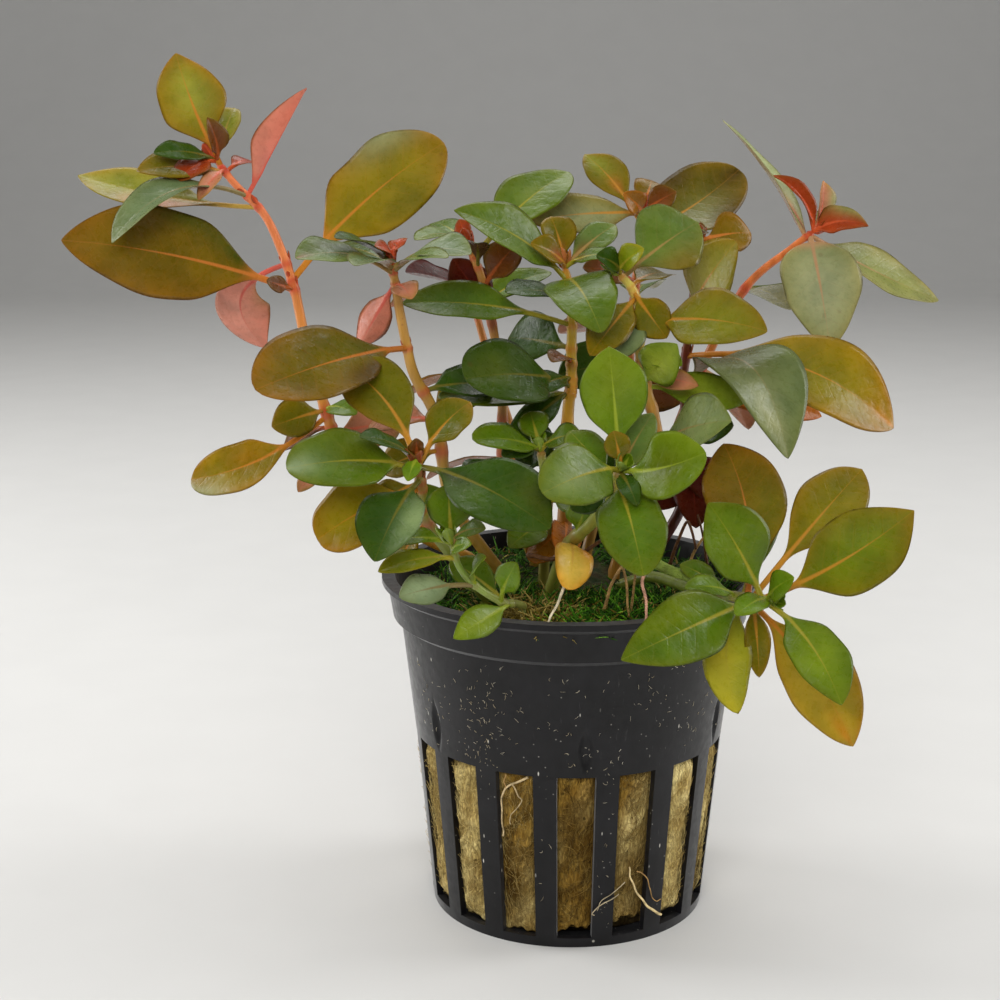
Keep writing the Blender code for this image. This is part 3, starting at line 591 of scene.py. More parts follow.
def shed_fibres(seed):
    """Fibres that the wool has shed onto the pot, in loose clusters that keep off the slots."""
    rng = np.random.default_rng(seed)
    places = np.repeat(np.array(SHED_PLACES)[:, :2], [row[2] for row in SHED_PLACES], axis=0)
    angle = places[:, 0] + rng.normal(0, SHED_SPREAD[0], len(places))
    height = places[:, 1] + rng.normal(0, SHED_SPREAD[1], len(places))
    on_wall = (height > SLOT_TOP + 0.6) | (np.abs(slot_number(angle)[1]) > SLOT_HALF + 1.4)
    keep = on_wall & (height < SHED_TOP) & (height > SLOT_FOOT + 1)
    angle, height = angle[keep, None], height[keep, None]
    count = len(angle)
    s = np.linspace(-0.5, 0.5, 5)
    way = rng.uniform(0, np.pi, count)[:, None] + rng.normal(0, SHED_BEND, count)[:, None] * s
    length = rng.uniform(*SHED_LENGTHS, count)[:, None]
    z = height + length * s * np.sin(way)
    radius = pot_radius(z) + 0.03
    paths = turned(radius, np.radians(angle) + length * s * np.cos(way) / radius, z)
    return paths, np.outer(rng.uniform(*SHED_WIDTHS, count), (0.6, 1.0, 1.0, 0.9, 0.5))


def make_wool():
    """The plug as a grid of rings with matted relief, closed at both ends, its fibres in the
    slots and those that it has shed."""
    in_slot = np.linspace(-SLOT_HALF - 0.6, SLOT_HALF + 0.6, 24)
    behind = np.linspace(SLOT_HALF + 0.6, SLOT_PITCH - SLOT_HALF - 0.6, 6)[1:-1]
    one = np.concatenate([in_slot, behind])
    angle = (SLOT_FIRST + SLOT_PITCH * np.arange(SLOT_COUNT)[:, None] + one).ravel()
    z = np.concatenate([np.linspace(WOOL_FOOT, SLOT_TOP + 1, 126), np.linspace(30, WOOL_TOP, 6)])
    rows, columns = FELT_SIZE
    up = (z / FELT_HEIGHT * (rows - 1)).astype(int) % rows
    round_ = ((angle % 360) / 360 * columns).astype(int) % columns
    field = 0.4 * felt(1.25, 14, 2.2, 5) + 0.4 * felt(0.5, 12, 2.2, 9)
    field += 0.6 * felt(0.9, 12, 8, 3) + 0.7 * felt(1.2, 34, 20, 11)
    relief = np.tanh(field[np.ix_(up, round_)] * 0.8) * 1.2
    angles, heights = np.meshgrid(angle, z)
    grid = turned(wool_surface(angles, heights, relief), np.radians(angles), heights)
    points = np.vstack([grid.reshape(-1, 3), [(0, 0, WOOL_FOOT)], [(0, 0, WOOL_TOP)]])
    patches = felt(1.2, 26, 16, 21)[np.ix_(up, round_)]
    # Painted light: less in the hollows of the matted relief, and none under the ragged foot, so the
    # gap there is painted as shade.
    light = (0.62 + 0.34 * relief) * (1 - wool_foot(angles, heights))
    tint = wool_colours(angles, light, 0.26 * patches).reshape(-1, 3)
    tint = np.vstack([tint, [WOOL_BROWN], [WOOL_BROWN]])
    fibre = make_wool_material()
    plug_form = (points, closed_tube(len(z), len(angle), len(points) - 2))
    make_tinted("wool_plug", plug_form, fibre, "mineral_wool", ["rockwool"], tint)
    paths, thickness, tint = slot_fibres(31)
    make_tinted("wool_fibres", thread_forms(paths, thickness, 3), fibre, "mineral_wool", (), tint)
    form = thread_forms(*shed_fibres(5), 3)
    tint = np.broadcast_to(SHED_TINT, (len(form[0]), 3))
    make_tinted("shed_fibres", form, fibre, "mineral_wool", (), tint)


make_wool()


# The moss and the roots. A cushion of green moss has grown over the wool, thickest at the
# front, and is mixed with yellow-brown dead threads. Roots of the plant cross it, and some have
# grown out through the slots and hang down the pot's outside.
MOSS_CENTRE = (1.0, -2.0)
MOSS_RADIUS = 22.4
MOSS_FOOT = 46.2
MOSS_TOP = 49.4
MOSS_SINK = 1.4
MOSS_COLOURS = np.array([
    ink(46, 88, 18), ink(70, 122, 26), ink(104, 152, 40), ink(34, 60, 14), ink(112, 96, 36),
    ink(158, 140, 78),
])
MOSS_SHARES = (0.34, 0.30, 0.12, 0.16, 0.05, 0.03)
MOSS_DRY = (-8.5, -19.5, 7.5)  # the x, the y and the reach of the place where it has died off
MOSS_EARTH = ink(64, 52, 22)
CUSHION_GRID = (26, 90)  # the rings of the cushion's top, and the points of a ring
TUFT_COUNT = 7200
TUFT_FRONT_SHARE = 0.65  # of the threads, those that gather at the front
TUFT_FRONT = (-1.6, 0.75)  # radians, the middle and the spread of their angles
TUFT_LENGTHS = (1.0, 3.2)
TUFT_WIDTHS = (0.12, 0.36)
ROOT_SIDES = 7
ROOT_WAVE = 0.06
ROOT_WHITE = ink(226, 214, 190)
ROOT_STRAW = ink(206, 184, 146)
ROOT_DUST = ink(190, 176, 150)
ROOT_TAN = ink(176, 140, 88)
ROOT_BROWN = ink(96, 62, 34)

# Each root is its colour, its thickness at its start and its end, and the points that it
# passes. The first ten lie over the moss, and the others come out of the slots.
ROOTS = [
    (ROOT_WHITE, 0.45, 0.3, [
        (-1, -21, 55.5), (-2, -23.5, 53), (-3.2, -25, 51), (-3.8, -26.3, 50.2)]),
    (ink(214, 160, 140), 0.5, 0.32, [
        (9.5, -20.5, 56), (9, -23, 54.6), (9.4, -25.4, 52.2), (9.2, -26.6, 50.3)]),
    (ROOT_TAN, 0.5, 0.3, [
        (4, -20, 50), (5, -21, 54), (6.4, -21.6, 56.5), (7, -21.6, 53), (7.3, -21.6, 49.5)]),
    (ROOT_TAN, 0.4, 0.25, [(7.6, -19, 49), (8.2, -19.6, 54), (8.4, -20.2, 58.5)]),
    (ROOT_BROWN, 0.7, 0.5, [
        (-6.5, -15, 56.5), (-3, -16.5, 56.3), (0.5, -18, 57.3), (3.6, -18.6, 59.5)]),
    (ink(122, 142, 60), 1.5, 1.3, [
        (10, -20, 57), (13, -21.5, 56), (16.5, -23, 55), (19.5, -24, 54)]),
    (ROOT_BROWN, 0.6, 0.35, [(13, -8, 49.5), (14.5, -10, 56), (16, -12, 60.5), (17, -14, 57)]),
    (ROOT_TAN, 0.5, 0.3, [(18, -10, 49), (16.5, -12, 54.5), (18.5, -14, 59), (20.5, -13, 56)]),
    (ROOT_BROWN, 0.5, 0.3, [(20, -7, 49), (19, -9, 55), (17.6, -10, 61)]),
    (ROOT_TAN, 0.4, 0.25, [(-20, -10, 49), (-22, -12, 51.5), (-22.6, -14, 49.8)]),
    (ROOT_STRAW, 0.36, 0.2, [
        (-6.3, -21.5, 26.3), (-7.7, -21, 25.4), (-9, -20.4, 24.6), (-9.8, -19.9, 23.3),
        (-10, -19.5, 21), (-9.8, -19.3, 17.9), (-9.7, -19.2, 16.6)]),
    (ROOT_STRAW, 0.22, 0.12, [
        (-8.5, -20.7, 24.9), (-7.6, -20.9, 23.3), (-7.2, -20.9, 22.4), (-8.1, -20.5, 21),
        (-8.8, -20, 19.8), (-8.7, -19.8, 18.6)]),
    (ROOT_TAN, 0.2, 0.14, [(-9.4, -20.4, 26.3), (-9.6, -20.3, 25.2), (-9.4, -20.3, 24.2)]),
    (ink(226, 204, 156), 0.2, 0.42, [
        (8.1, -19.5, 12), (8.3, -19.3, 10.4), (9.1, -18.8, 8.2), (10.3, -18.4, 6.2),
        (11.6, -17.4, 4.5), (13, -16.2, 3.2)]),
    (ROOT_TAN, 0.16, 0.12, [
        (9.2, -19, 11.1), (10.2, -18.5, 10.5), (11, -18.3, 9), (11.3, -18, 7.4),
        (12.1, -17.1, 5.7), (12.9, -16.6, 5.8)]),
    (ROOT_DUST, 0.14, 0.1, [
        (7.5, -19.7, 9.8), (5.6, -20.6, 8.4), (4.2, -20.8, 7.5), (3.5, -20.8, 5.9)]),
    (ROOT_DUST, 0.16, 0.14, [
        (6.6, -20.2, 8.2), (5.7, -20.5, 7.6), (4.2, -20.8, 6.9), (2.9, -20.9, 5.7),
        (3.1, -20.8, 5.2)]),
]


def unit(vectors):
    """The vectors in the last axis at length one."""
    return vectors / (np.linalg.norm(vectors, axis=-1, keepdims=True) + 1e-12)


def follow(route, places):
    """Points and directions at places along a smooth curve through the route's points.

    The curve is a Catmull-Rom spline: between two points it is the cubic whose end slopes
    are half the chord between each point's neighbours. A place counts the points.
    """
    last = len(route) - 1
    start = np.clip(places.astype(int), 0, last - 1)
    s = (places - start)[:, None]
    longer = np.vstack([2 * route[0] - route[1], route, 2 * route[-1] - route[-2]])
    p0, p1, p2, p3 = (longer[start + k] for k in range(4))
    bend = 2 * p0 - 5 * p1 + 4 * p2 - p3
    twist = -p0 + 3 * p1 - 3 * p2 + p3
    point = 0.5 * (2 * p1 + (p2 - p0) * s + bend * s**2 + twist * s**3)
    slope = 0.5 * ((p2 - p0) + 2 * bend * s + 3 * twist * s**2)
    return point, unit(slope)


def make_thread_material(name, roughness):
    """Soft plant matter: its colour from the mesh, clouded by noise."""
    material, tree, shader, place = start_material(name)
    tint = read_layer(tree, "fibre_tint")["Color"]
    cloud = mottle(tree, place, 700.0)
    dark = scaled(tree, tint, 0.6, 0.58, 0.5)
    colour = blend_colour(tree, cloud["Broad"], dark, scaled(tree, tint, 1.25, 1.22, 1.1))
    plug(tree, shader, [
        ("Base Color", colour), ("Roughness", roughness), ("Specular IOR Level", 0.3),
        ("Normal", bump(tree, cloud["Fine"], 0.12)),
    ])
    return material


def moss_height(x, y):
    """The cushion's height: lumps of two sizes on a top that sinks towards its edge."""
    away = np.hypot(x - MOSS_CENTRE[0], y - MOSS_CENTRE[1]) / MOSS_RADIUS
    lumps = 0.35 * np.sin(0.55 * x + 1.0) * np.cos(0.5 * y)
    lumps += 0.22 * np.sin(1.9 * x + 0.7 * y) * np.cos(1.6 * y - 0.4 * x)
    return MOSS_TOP + lumps - MOSS_SINK * away**4


def make_moss_cushion(material):
    """The cushion as rings about its middle, closed underneath and at both poles."""
    rings, columns = CUSHION_GRID
    away = MOSS_RADIUS * np.concatenate([[1.0], np.linspace(1.0, 0.0, rings)[:-1]])[:, None]
    turn = 2 * np.pi * np.arange(columns) / columns
    x = MOSS_CENTRE[0] + away * np.cos(turn)
    y = MOSS_CENTRE[1] + away * np.sin(turn)
    z = moss_height(x, y)
    z[0] = MOSS_FOOT
    poles = [(*MOSS_CENTRE, MOSS_FOOT), (*MOSS_CENTRE, moss_height(*MOSS_CENTRE))]
    points = np.vstack([np.stack([x, y, z], axis=-1).reshape(-1, 3), poles])
    wave = 0.5 + 0.5 * np.sin(points[:, :1] * 1.3) * np.cos(points[:, 1:2] * 1.1)
    tint = MOSS_EARTH * (1 - wave) + MOSS_COLOURS[3] * wave
    form = (points, closed_tube(len(z), columns, len(points) - 2))
    make_tinted("moss_cushion", form, material, "moss", ["moss"], tint)


def make_moss_tufts(material, seed):
    """Short curved threads that stand on the cushion, densest at the front.

    A thread leaves the cushion at a random lean and bends further over by the square of the
    way along it. Two sines gather the long ones in tufts.
    """
    rng = np.random.default_rng(seed)
    count = TUFT_COUNT
    away = np.sqrt(rng.uniform(0.12, 1.0, count)) * (MOSS_RADIUS + 0.6)
    at_front = rng.random(count) < TUFT_FRONT_SHARE
    turn = np.where(at_front, rng.normal(*TUFT_FRONT, count), rng.uniform(0, 2 * np.pi, count))
    x = MOSS_CENTRE[0] + away * np.cos(turn)
    y = MOSS_CENTRE[1] + away * np.sin(turn)
    foot = np.stack([x, y, moss_height(x, y) - 0.5], axis=-1)
    tuft = 0.5 + 0.5 * np.sin(0.9 * x + 2.0) * np.sin(1.1 * y + 0.5 * x)
    length = (rng.uniform(*TUFT_LENGTHS, count) * (0.45 + 0.95 * tuft))[:, None, None]
    lean_way = rng.uniform(0, 2 * np.pi, count)
    lean = rng.uniform(0.2, 1.1, count)[:, None, None]
    flat = np.stack([np.cos(lean_way), np.sin(lean_way), np.zeros(count)], axis=-1)
    up = np.array((0.0, 0.0, 1.0))
    s = np.linspace(0, 1, 5)[:, None]
    rise = foot[:, None] + length * np.cos(lean) * up * s
    droop = rng.uniform(0.0, 0.5, count)[:, None, None] * length * up * s**2
    reach = flat[:, None] * (length * np.sin(lean)) * (s + 0.5 * s**2)
    thickness = np.outer(rng.uniform(*TUFT_WIDTHS, count), (0.9, 1.2, 1.1, 0.8, 0.2))
    kind = rng.choice(len(MOSS_COLOURS), count, p=MOSS_SHARES)
    dry_x, dry_y, dry_reach = MOSS_DRY
    dry = np.exp(-((x - dry_x) ** 2 + (y - dry_y) ** 2) / dry_reach**2)
    kind = np.where(rng.random(count) < 1.1 * dry, rng.integers(4, 6, count), kind)
    shade = rng.uniform(0.8, 1.5, count)[:, None]
    form = thread_forms(rise + reach - droop, thickness, 3)
    tint = np.repeat(MOSS_COLOURS[kind] * shade, len(form[0]) // count, axis=0)
    make_tinted("moss_tufts", form, material, "moss", (), tint)


def make_roots(material):
    """The roots as round tubes along their points, with a slight wave, joined into one piece."""
    points, tint, faces = [], [], [[], [], []]
    for colour, first, last, way in ROOTS:
        route = np.array(way, dtype=float)
        places = np.linspace(0, len(route) - 1, 8 * (len(route) - 1) + 1)
        path = follow(route, places)[0]
        path += ROOT_WAVE * np.sin(places * 5.0)[:, None] * np.array((1.0, 0.0, 0.5))
        width = np.interp(places / places[-1], (0, 1), (first, last))
        form, parts = thread_forms(path[None], width[None], ROOT_SIDES)
        for kind, part in zip(faces, parts):
            kind.append(part + sum(len(done) for done in points))
        points.append(form)
        tint.append(np.repeat(colour[None], len(form), axis=0))
    form = (np.vstack(points), [np.concatenate(kind) for kind in faces])
    make_tinted("roots", form, material, "moss", (), np.vstack(tint))


moss_material = make_thread_material("moss_threads", 0.85)
make_moss_cushion(moss_material)
make_moss_tufts(moss_material, 43)
make_roots(make_thread_material("plant_roots", 0.5))


# The shoots. Each is one soft round stem, orange, green or dark red, that comes up through the
# moss, with waxy leaves in pairs, small folded buds in its axils and young leaves at its crown. A
# leaf is green to bronze above and pinkish below, with a paler midrib that stands out under it.
STEM_FOOT = 50.2
STEM_BURIED = 5.0  # how far a stem goes down into the moss
STEM_SIDES = 14
AXIL_SWELL = 0.22  # of a stem's radius
AXIL_REACH = 0.09  # of the way from one point of a stem's route to the next
STALK_WIDTH = 0.46  # of a leaf with no width
STALK_SHARE = 0.042  # and what each millimetre of a leaf's width adds to its stalk's
WIDEST = 0.54  # of a blade's length, from the stalk
POINT = 0.80  # how sharp a blade's tip is: under 0.5 is round and over 0.9 is drawn out
FOLD = 0.18  # rise of a blade's edge over its half width
STALK_THICK = 0.70
BLADE_THICK = 0.20
RIB_HALF_WIDTH = 0.36
RIB_HEIGHT = 0.26  # under the blade
GROOVE_DEPTH = 0.07  # over the midrib
QUILT_HEIGHT = 0.012  # of the swelling between two veins
VEIN_PITCH = 2.3
LEAST_VEINS = 4
LEAF_GRID = (40, 40)  # the rings of a full-grown leaf along its blade, and the points of a ring
YOUNG_GRID = (16, 20)
BUD_GRID = (7, 12)
CROWN_BUD = (3.2, 1.9, 4)  # the length, the width and the number of its leaves
AXIL_BUD = (2.0, 0.8, 2)
LEAF_GAP = 0.35  # clear air between a stem and the solid of a full-grown leaf
LEAST_SLANT = 0.45  # of a leaf's way that counts as leading off its stem
LEAF_SPOT = (84, 48, 22)
STEM_SPOT = (120, 52, 30)

# The skin of a leaf: its face, its margin, its midrib with the stalk, and its underside. The faces
# of grey, slate and pale are a leaf's green greyed by a painted sheen.
SKINS = {
    "olive": ((98, 92, 8), (124, 96, 12), (172, 118, 36), (160, 100, 70)),
    "bronze": ((106, 84, 8), (124, 84, 10), (182, 106, 42), (168, 92, 64)),
    "gold": ((126, 110, 12), (146, 104, 14), (184, 116, 36), (166, 106, 56)),
    "lime": ((124, 128, 34), (146, 124, 40), (168, 138, 60), (150, 120, 76)),
    "green": ((74, 100, 12), (88, 98, 14), (146, 136, 40), (124, 120, 60)),
    "fresh": ((86, 114, 12), (98, 116, 16), (136, 148, 40), (118, 136, 58)),
    "dark": ((44, 72, 12), (52, 70, 14), (104, 98, 32), (80, 58, 34)),
    "grey": ((86, 108, 46), (98, 108, 42), (148, 118, 64), (130, 104, 76)),
    "slate": ((96, 112, 72), (104, 112, 62), (128, 112, 70), (136, 112, 90)),
    "citron": ((118, 130, 18), (136, 126, 20), (160, 146, 44), (140, 130, 60)),
    "pale": ((122, 128, 76), (140, 130, 70), (164, 124, 86), (160, 118, 96)),
    "pink": ((180, 92, 62), (150, 92, 46), (196, 86, 70), (200, 122, 100)),
    "rose": ((184, 118, 90), (150, 110, 50), (200, 100, 72), (196, 124, 98)),
    "amber": ((140, 92, 20), (150, 90, 22), (190, 106, 40), (164, 96, 50)),
    "orange": ((176, 106, 12), (186, 98, 14), (210, 120, 34), (184, 104, 34)),
    "yellow": ((228, 190, 76), (214, 150, 44), (214, 166, 70), (206, 160, 60)),
    "red": ((150, 54, 20), (124, 66, 18), (190, 80, 40), (160, 60, 30)),
    "brown": ((104, 56, 18), (100, 72, 18), (160, 80, 36), (130, 66, 36)),
    "maroon": ((78, 18, 8), (74, 30, 10), (130, 50, 32), (84, 20, 12)),
}


def leaf(at, tip, width, faces, skin, stalk=1.2, arch=1.0, sweep=0.0, fold=FOLD, wave=0.12,
         curl=0.0, widest=WIDEST, point=POINT, neck=0.67, patches=()):
    """One leaf of a shoot, as a row of its own.

    at is the place on the stem's route where it grows, tip where it ends, and faces the way
    its upper side looks. arch is how far its middle rises over the straight line between its
    ends, and sweep how far it bows to the right, seen from above with the tip ahead. wave is
    the height of the ripples of its margin, and curl how far the tip bends up. widest is where
    the blade is widest, point how sharp its tip is, and neck how much it narrows towards the
    stalk. A patch is (across, along, size, colour): across is -1 at the left margin and 1 at
    the right one, and along 0 at the stalk and 1 at the tip.
    """
    return {
        "at": float(at), "tip": np.array(tip, float), "width": width,
        "faces": np.array(faces, float), "skin": [ink(*colour) for colour in SKINS[skin]],
        "stalk": stalk, "arch": arch, "sweep": sweep, "fold": fold, "wave": wave, "curl": curl,
        "widest": widest, "point": point, "neck": neck, "patches": patches,
    }


def smooth(value, low, high):
    """0 under low, 1 over high, and a smooth step of 3 s s - 2 s s s between them."""
    s = np.clip((value - low) / (high - low), 0, 1)
    return s * s * (3 - 2 * s)


def mix(first, second, share):
    """Goes from the first colour to the second as share goes from 0 to 1."""
    share = np.clip(share, 0, 1)[..., None]
    return first * (1 - share) + second * share


def blade_width(s, widest, point, neck):
    """The width of a blade at s of its length, from 0 at the stalk to 1 at the tip.

    It is s to the power of one number times (1 - s) to the power of point, scaled to a widest
    value of 1. The two numbers put the widest place where it is asked for. The third nearest
    the stalk is drawn in further, by the share neck at its start.
    """
    stalk_power = point * widest / (1 - widest)
    s = np.clip(s, 1e-6, 1)
    outline = (s / widest) ** stalk_power * ((1 - s) / (1 - widest)) ** point
    return outline * (1 - neck * (1 - smooth(s, -0.08, 0.34)))


def leaf_ways(row, start):
    """A leaf's line from a start to its tip, the way its upper side looks, and its bow."""
    reach = row["tip"] - start
    along = unit(reach)
    out = unit(row["faces"] - np.dot(row["faces"], along) * along)
    return reach, out, out * row["arch"] + np.cross(along, out) * row["sweep"]


def leaf_form(axis_point, base, row, rings, columns):
    """A closed leaf as points, faces and what its material reads, from the stem to its tip.

    Its middle line is a parabola: the straight line from base to tip, and 4 s (1 - s) times
    the arch on the upper side and the sweep on the right. Around that line each ring runs
    over the left edge, the top, the right edge and the underside. Two sines make the outline
    uneven, both halves rise to the edge, the margin ripples and the blade swells a little
    between its veins. A groove runs along the top and the midrib stands out below.
    """
    reach, out, bow = leaf_ways(row, base)
    length = np.linalg.norm(reach)
    stalk = row["stalk"] / length
    t = np.linspace(0, 1, rings + 1)[:-1]
    on_blade = 0.3 * t + 0.35 * (1 - np.cos(np.pi * t))
    share = np.concatenate([np.linspace(0, stalk, 5)[:-1], stalk + (1 - stalk) * on_blade])
    middle = base + reach * share[:, None] + bow * (4 * share * (1 - share))[:, None]
    middle += out * (row["curl"] * share**3)[:, None]
    if np.linalg.norm(base - axis_point) > 0.1:
        middle = np.vstack([axis_point, (axis_point + base) / 2, middle])
        share = np.concatenate([[0, 0], share])
    tip = base + reach + out * row["curl"]
    slope = unit(np.gradient(np.vstack([middle, tip]), axis=0)[:-1])
    side = unit(np.cross(slope, out))
    normal = np.cross(side, slope)
    b = np.clip((share - stalk) / (1 - stalk), 0, 1)[:, None]

    half_count = columns // 4
    even = np.linspace(-1, 1, 2 * half_count + 1)
    across = np.sign(even) * np.abs(even) ** 1.2
    u = np.concatenate([across, across[-2:0:-1]])
    upper = np.ones(2 * half_count - 1)
    top = np.concatenate([[0], upper, [0], -upper])
    chance = row["tip"] @ (1.7, 2.3, 3.1) + np.where(u > 0, 2.0, 0.0)
    blade_half = row["width"] / 2 * blade_width(b, row["widest"], row["point"], row["neck"])
    blade_half = blade_half * (1 + 0.035 * np.sin(6 * b + chance) + 0.02 * np.sin(15 * b - chance))
    stalk_half = (STALK_WIDTH + STALK_SHARE * row["width"]) / 2
    half = np.hypot(stalk_half * (1 - 0.7 * b), blade_half)
    x = u * half
    blade_length = length - row["stalk"]
    veins = max(LEAST_VEINS, round(blade_length / VEIN_PITCH))
    phase = veins * (b - 0.62 * np.abs(x) / blade_length * (1 + 0.3 * np.abs(u))) + 0.15
    full = np.sin(np.pi * b)
    rise = row["fold"] * (half - stalk_half) * np.abs(u) ** 1.35
    ripple = np.sin(6.5 * b + chance) + 0.5 * np.sin(15.0 * b + 2 * chance)
    rise += row["wave"] * (1 + row["width"] / 12) * u**2 * full * ripple
    rise -= QUILT_HEIGHT * full * (1 - u**2) * np.cos(2 * np.pi * phase)
    thick = STALK_THICK + (BLADE_THICK - STALK_THICK) * smooth(b, 0.0, 0.25)
    depth = top * thick * (1 - 0.4 * b) / 2 * np.sqrt(np.clip(1 - u**2, 0, 1))
    rib = np.exp(-((x / RIB_HALF_WIDTH) ** 2)) * smooth(b, 0.0, 0.15)
    depth -= np.where(top > 0, GROOVE_DEPTH, 0.0) * rib * (1 - 0.8 * b)
    depth -= np.where(top < 0, RIB_HEIGHT, 0.0) * rib * (1 - 0.85 * b)
    ring = middle[:, None] + side[:, None] * x[..., None] + normal[:, None] * (rise + depth)[..., None]

    face, margin, rib_colour, below = row["skin"]
    b = np.broadcast_to(b, x.shape)
    edge = np.broadcast_to(np.abs(u), x.shape)
    towards_edge = edge**2.5 * (0.75 + 0.25 * np.sin(4 * b + chance))
    tint = mix(face, margin, towards_edge + 0.6 * smooth(b, 0.7, 1.0))
    tint = mix(tint, below, (top < 0) * (edge < 0.999) * 1.0)
    # Pale grey-green patches are painted sheen, reflected light laid into the colour; the other patches
    # are the leaf's own colour.
    for patch_across, patch_along, size, colour in row["patches"]:
        away = ((u - patch_across) ** 2 + (2 * (b - patch_along)) ** 2) / size**2
        tint = mix(tint, ink(*colour), np.where(top < 0, 0.5, 0.9) * np.exp(-away))
    tint = mix(rib_colour, tint, smooth(b, 0.0, 0.12))
    skin = with_alpha(tint, edge).reshape(-1, 4)
    place = np.stack([np.broadcast_to(phase, x.shape), b, x], axis=-1).reshape(-1, 3)

    first = np.arange(len(u))
    tip_number = len(middle) * len(u)
    cone = fan(tip_number - len(u) + first, tip_number)
    return {
        "points": np.vstack([ring.reshape(-1, 3), tip, middle[0]]),
        "quads": ring_quads(len(middle), len(u)),
        "tris": np.vstack([fan(first, tip_number + 1, downward=True), cone]),
        "skin": np.vstack([skin, [(*margin, 0.5)], [(*rib_colour, 0.0)]]),
        "rib": np.tile([*rib_colour, 1.0], (tip_number + 2, 1)),
        "place": np.vstack([place, [(0.5, 1.0, 0.0)], [(0.5, 0.0, 0.0)]]),
    }


def stem_form(route, thick, colours, axils):
    """A round stem along its route, with a swelling and a ring of another colour at each axil.

    Its radius goes evenly from foot to crown, and is a fifth more at an axil, falling off as a
    bell curve. It starts under the moss and narrows to its tip.
    """
    last = len(route) - 1
    places = np.linspace(0, last, 14 * last + 1)
    share = places / last
    near = np.exp(-(((places[:, None] - axils) / AXIL_REACH) ** 2)).max(axis=1)
    radius = 0.5 * (thick[0] + (thick[1] - thick[0]) * share)
    radius = radius * (1 + AXIL_SWELL * near) * (1 - 0.5 * smooth(share, 0.97, 1.0))
    buried = route[0] - np.array((0.0, 0.0, STEM_BURIED))
    middle = np.vstack([buried, follow(route, places)[0]])
    radius = np.concatenate([[thick[0] / 2], radius])
    share = np.concatenate([[0.0], share])
    near = np.concatenate([[0.0], near])
    points, (quads, foot_cap, crown_cap) = thread_forms(middle[None], 2 * radius[None], STEM_SIDES)
    low, high, axil = (ink(*colour) for colour in colours)
    tint = mix(low, high, smooth(share, 0.1, 0.8))
    tint = mix(tint, axil, 0.75 * near + 0.35 * smooth(share, 0.9, 1.0))
    tint = np.repeat(tint, STEM_SIDES, axis=0)
    around = np.tile(np.arange(STEM_SIDES) / STEM_SIDES, len(middle))
    place = np.column_stack([around, np.repeat(share, STEM_SIDES), np.zeros(len(points))])
    skin = with_alpha(np.vstack([tint, tint[:1], tint[-1:]]))
    hub = len(points)
    return {
        "points": np.vstack([points, middle[0], middle[-1]]), "quads": quads,
        "tris": np.vstack([fan(foot_cap[0], hub), fan(crown_cap[0], hub + 1)]),
        "skin": skin, "rib": skin, "place": np.vstack([place, place[:1], place[-1:]]),
    }


def join_forms(forms):
    """Several forms as one: their points and attributes end to end, and their faces moved on."""
    starts = np.cumsum([0] + [len(form["points"]) for form in forms])
    joined = {key: np.vstack([form[key] for form in forms])
              for key in ("points", "skin", "rib", "place")}
    for key in ("quads", "tris"):
        joined[key] = np.vstack([form[key] + start for form, start in zip(forms, starts)])
    return joined


def bud_forms(point, way, skin, length, width, count, seed):
    """A bud of small folded leaves about a direction, each leaning out a little."""
    rng = np.random.default_rng(seed)
    side = unit(np.cross(way, (0.3, 1.0, 0.1)))
    other = np.cross(way, side)
    forms = []
    for turn in np.pi * np.arange(count) * (1.0 if count == 2 else 0.5) + rng.uniform(0, 6):
        outward = np.cos(turn) * side + np.sin(turn) * other
        reach = length * rng.uniform(0.75, 1.1)
        tip = point + unit(way + 0.42 * outward) * reach
        row = leaf(0, tip, width, way * 0.3 - outward, skin, 0.15 * reach, -0.12 * reach, fold=0.5)
        forms.append(leaf_form(point, point, row, *BUD_GRID))
    return forms


def stem_place(route, at):
    """The point and the direction of a stem at one place on its route."""
    return (part[0] for part in follow(route, np.array([at])))


def leaf_base(route, thick, row):
    """A full-grown leaf's point on its stem's axis, and where its solid begins, clear of the stem."""
    point, stem_way = stem_place(route, row["at"])
    reach, _, bow = leaf_ways(row, point)
    way = unit(reach + 4 * bow)
    lean = abs(np.dot(way, stem_way))
    across = max(np.sqrt(1 - lean**2), LEAST_SLANT)
    radius = 0.5 * (thick[0] + (thick[1] - thick[0]) * row["at"] / (len(route) - 1))
    clear = radius + LEAF_GAP + 0.45 * lean
    return point, point + way * clear / across


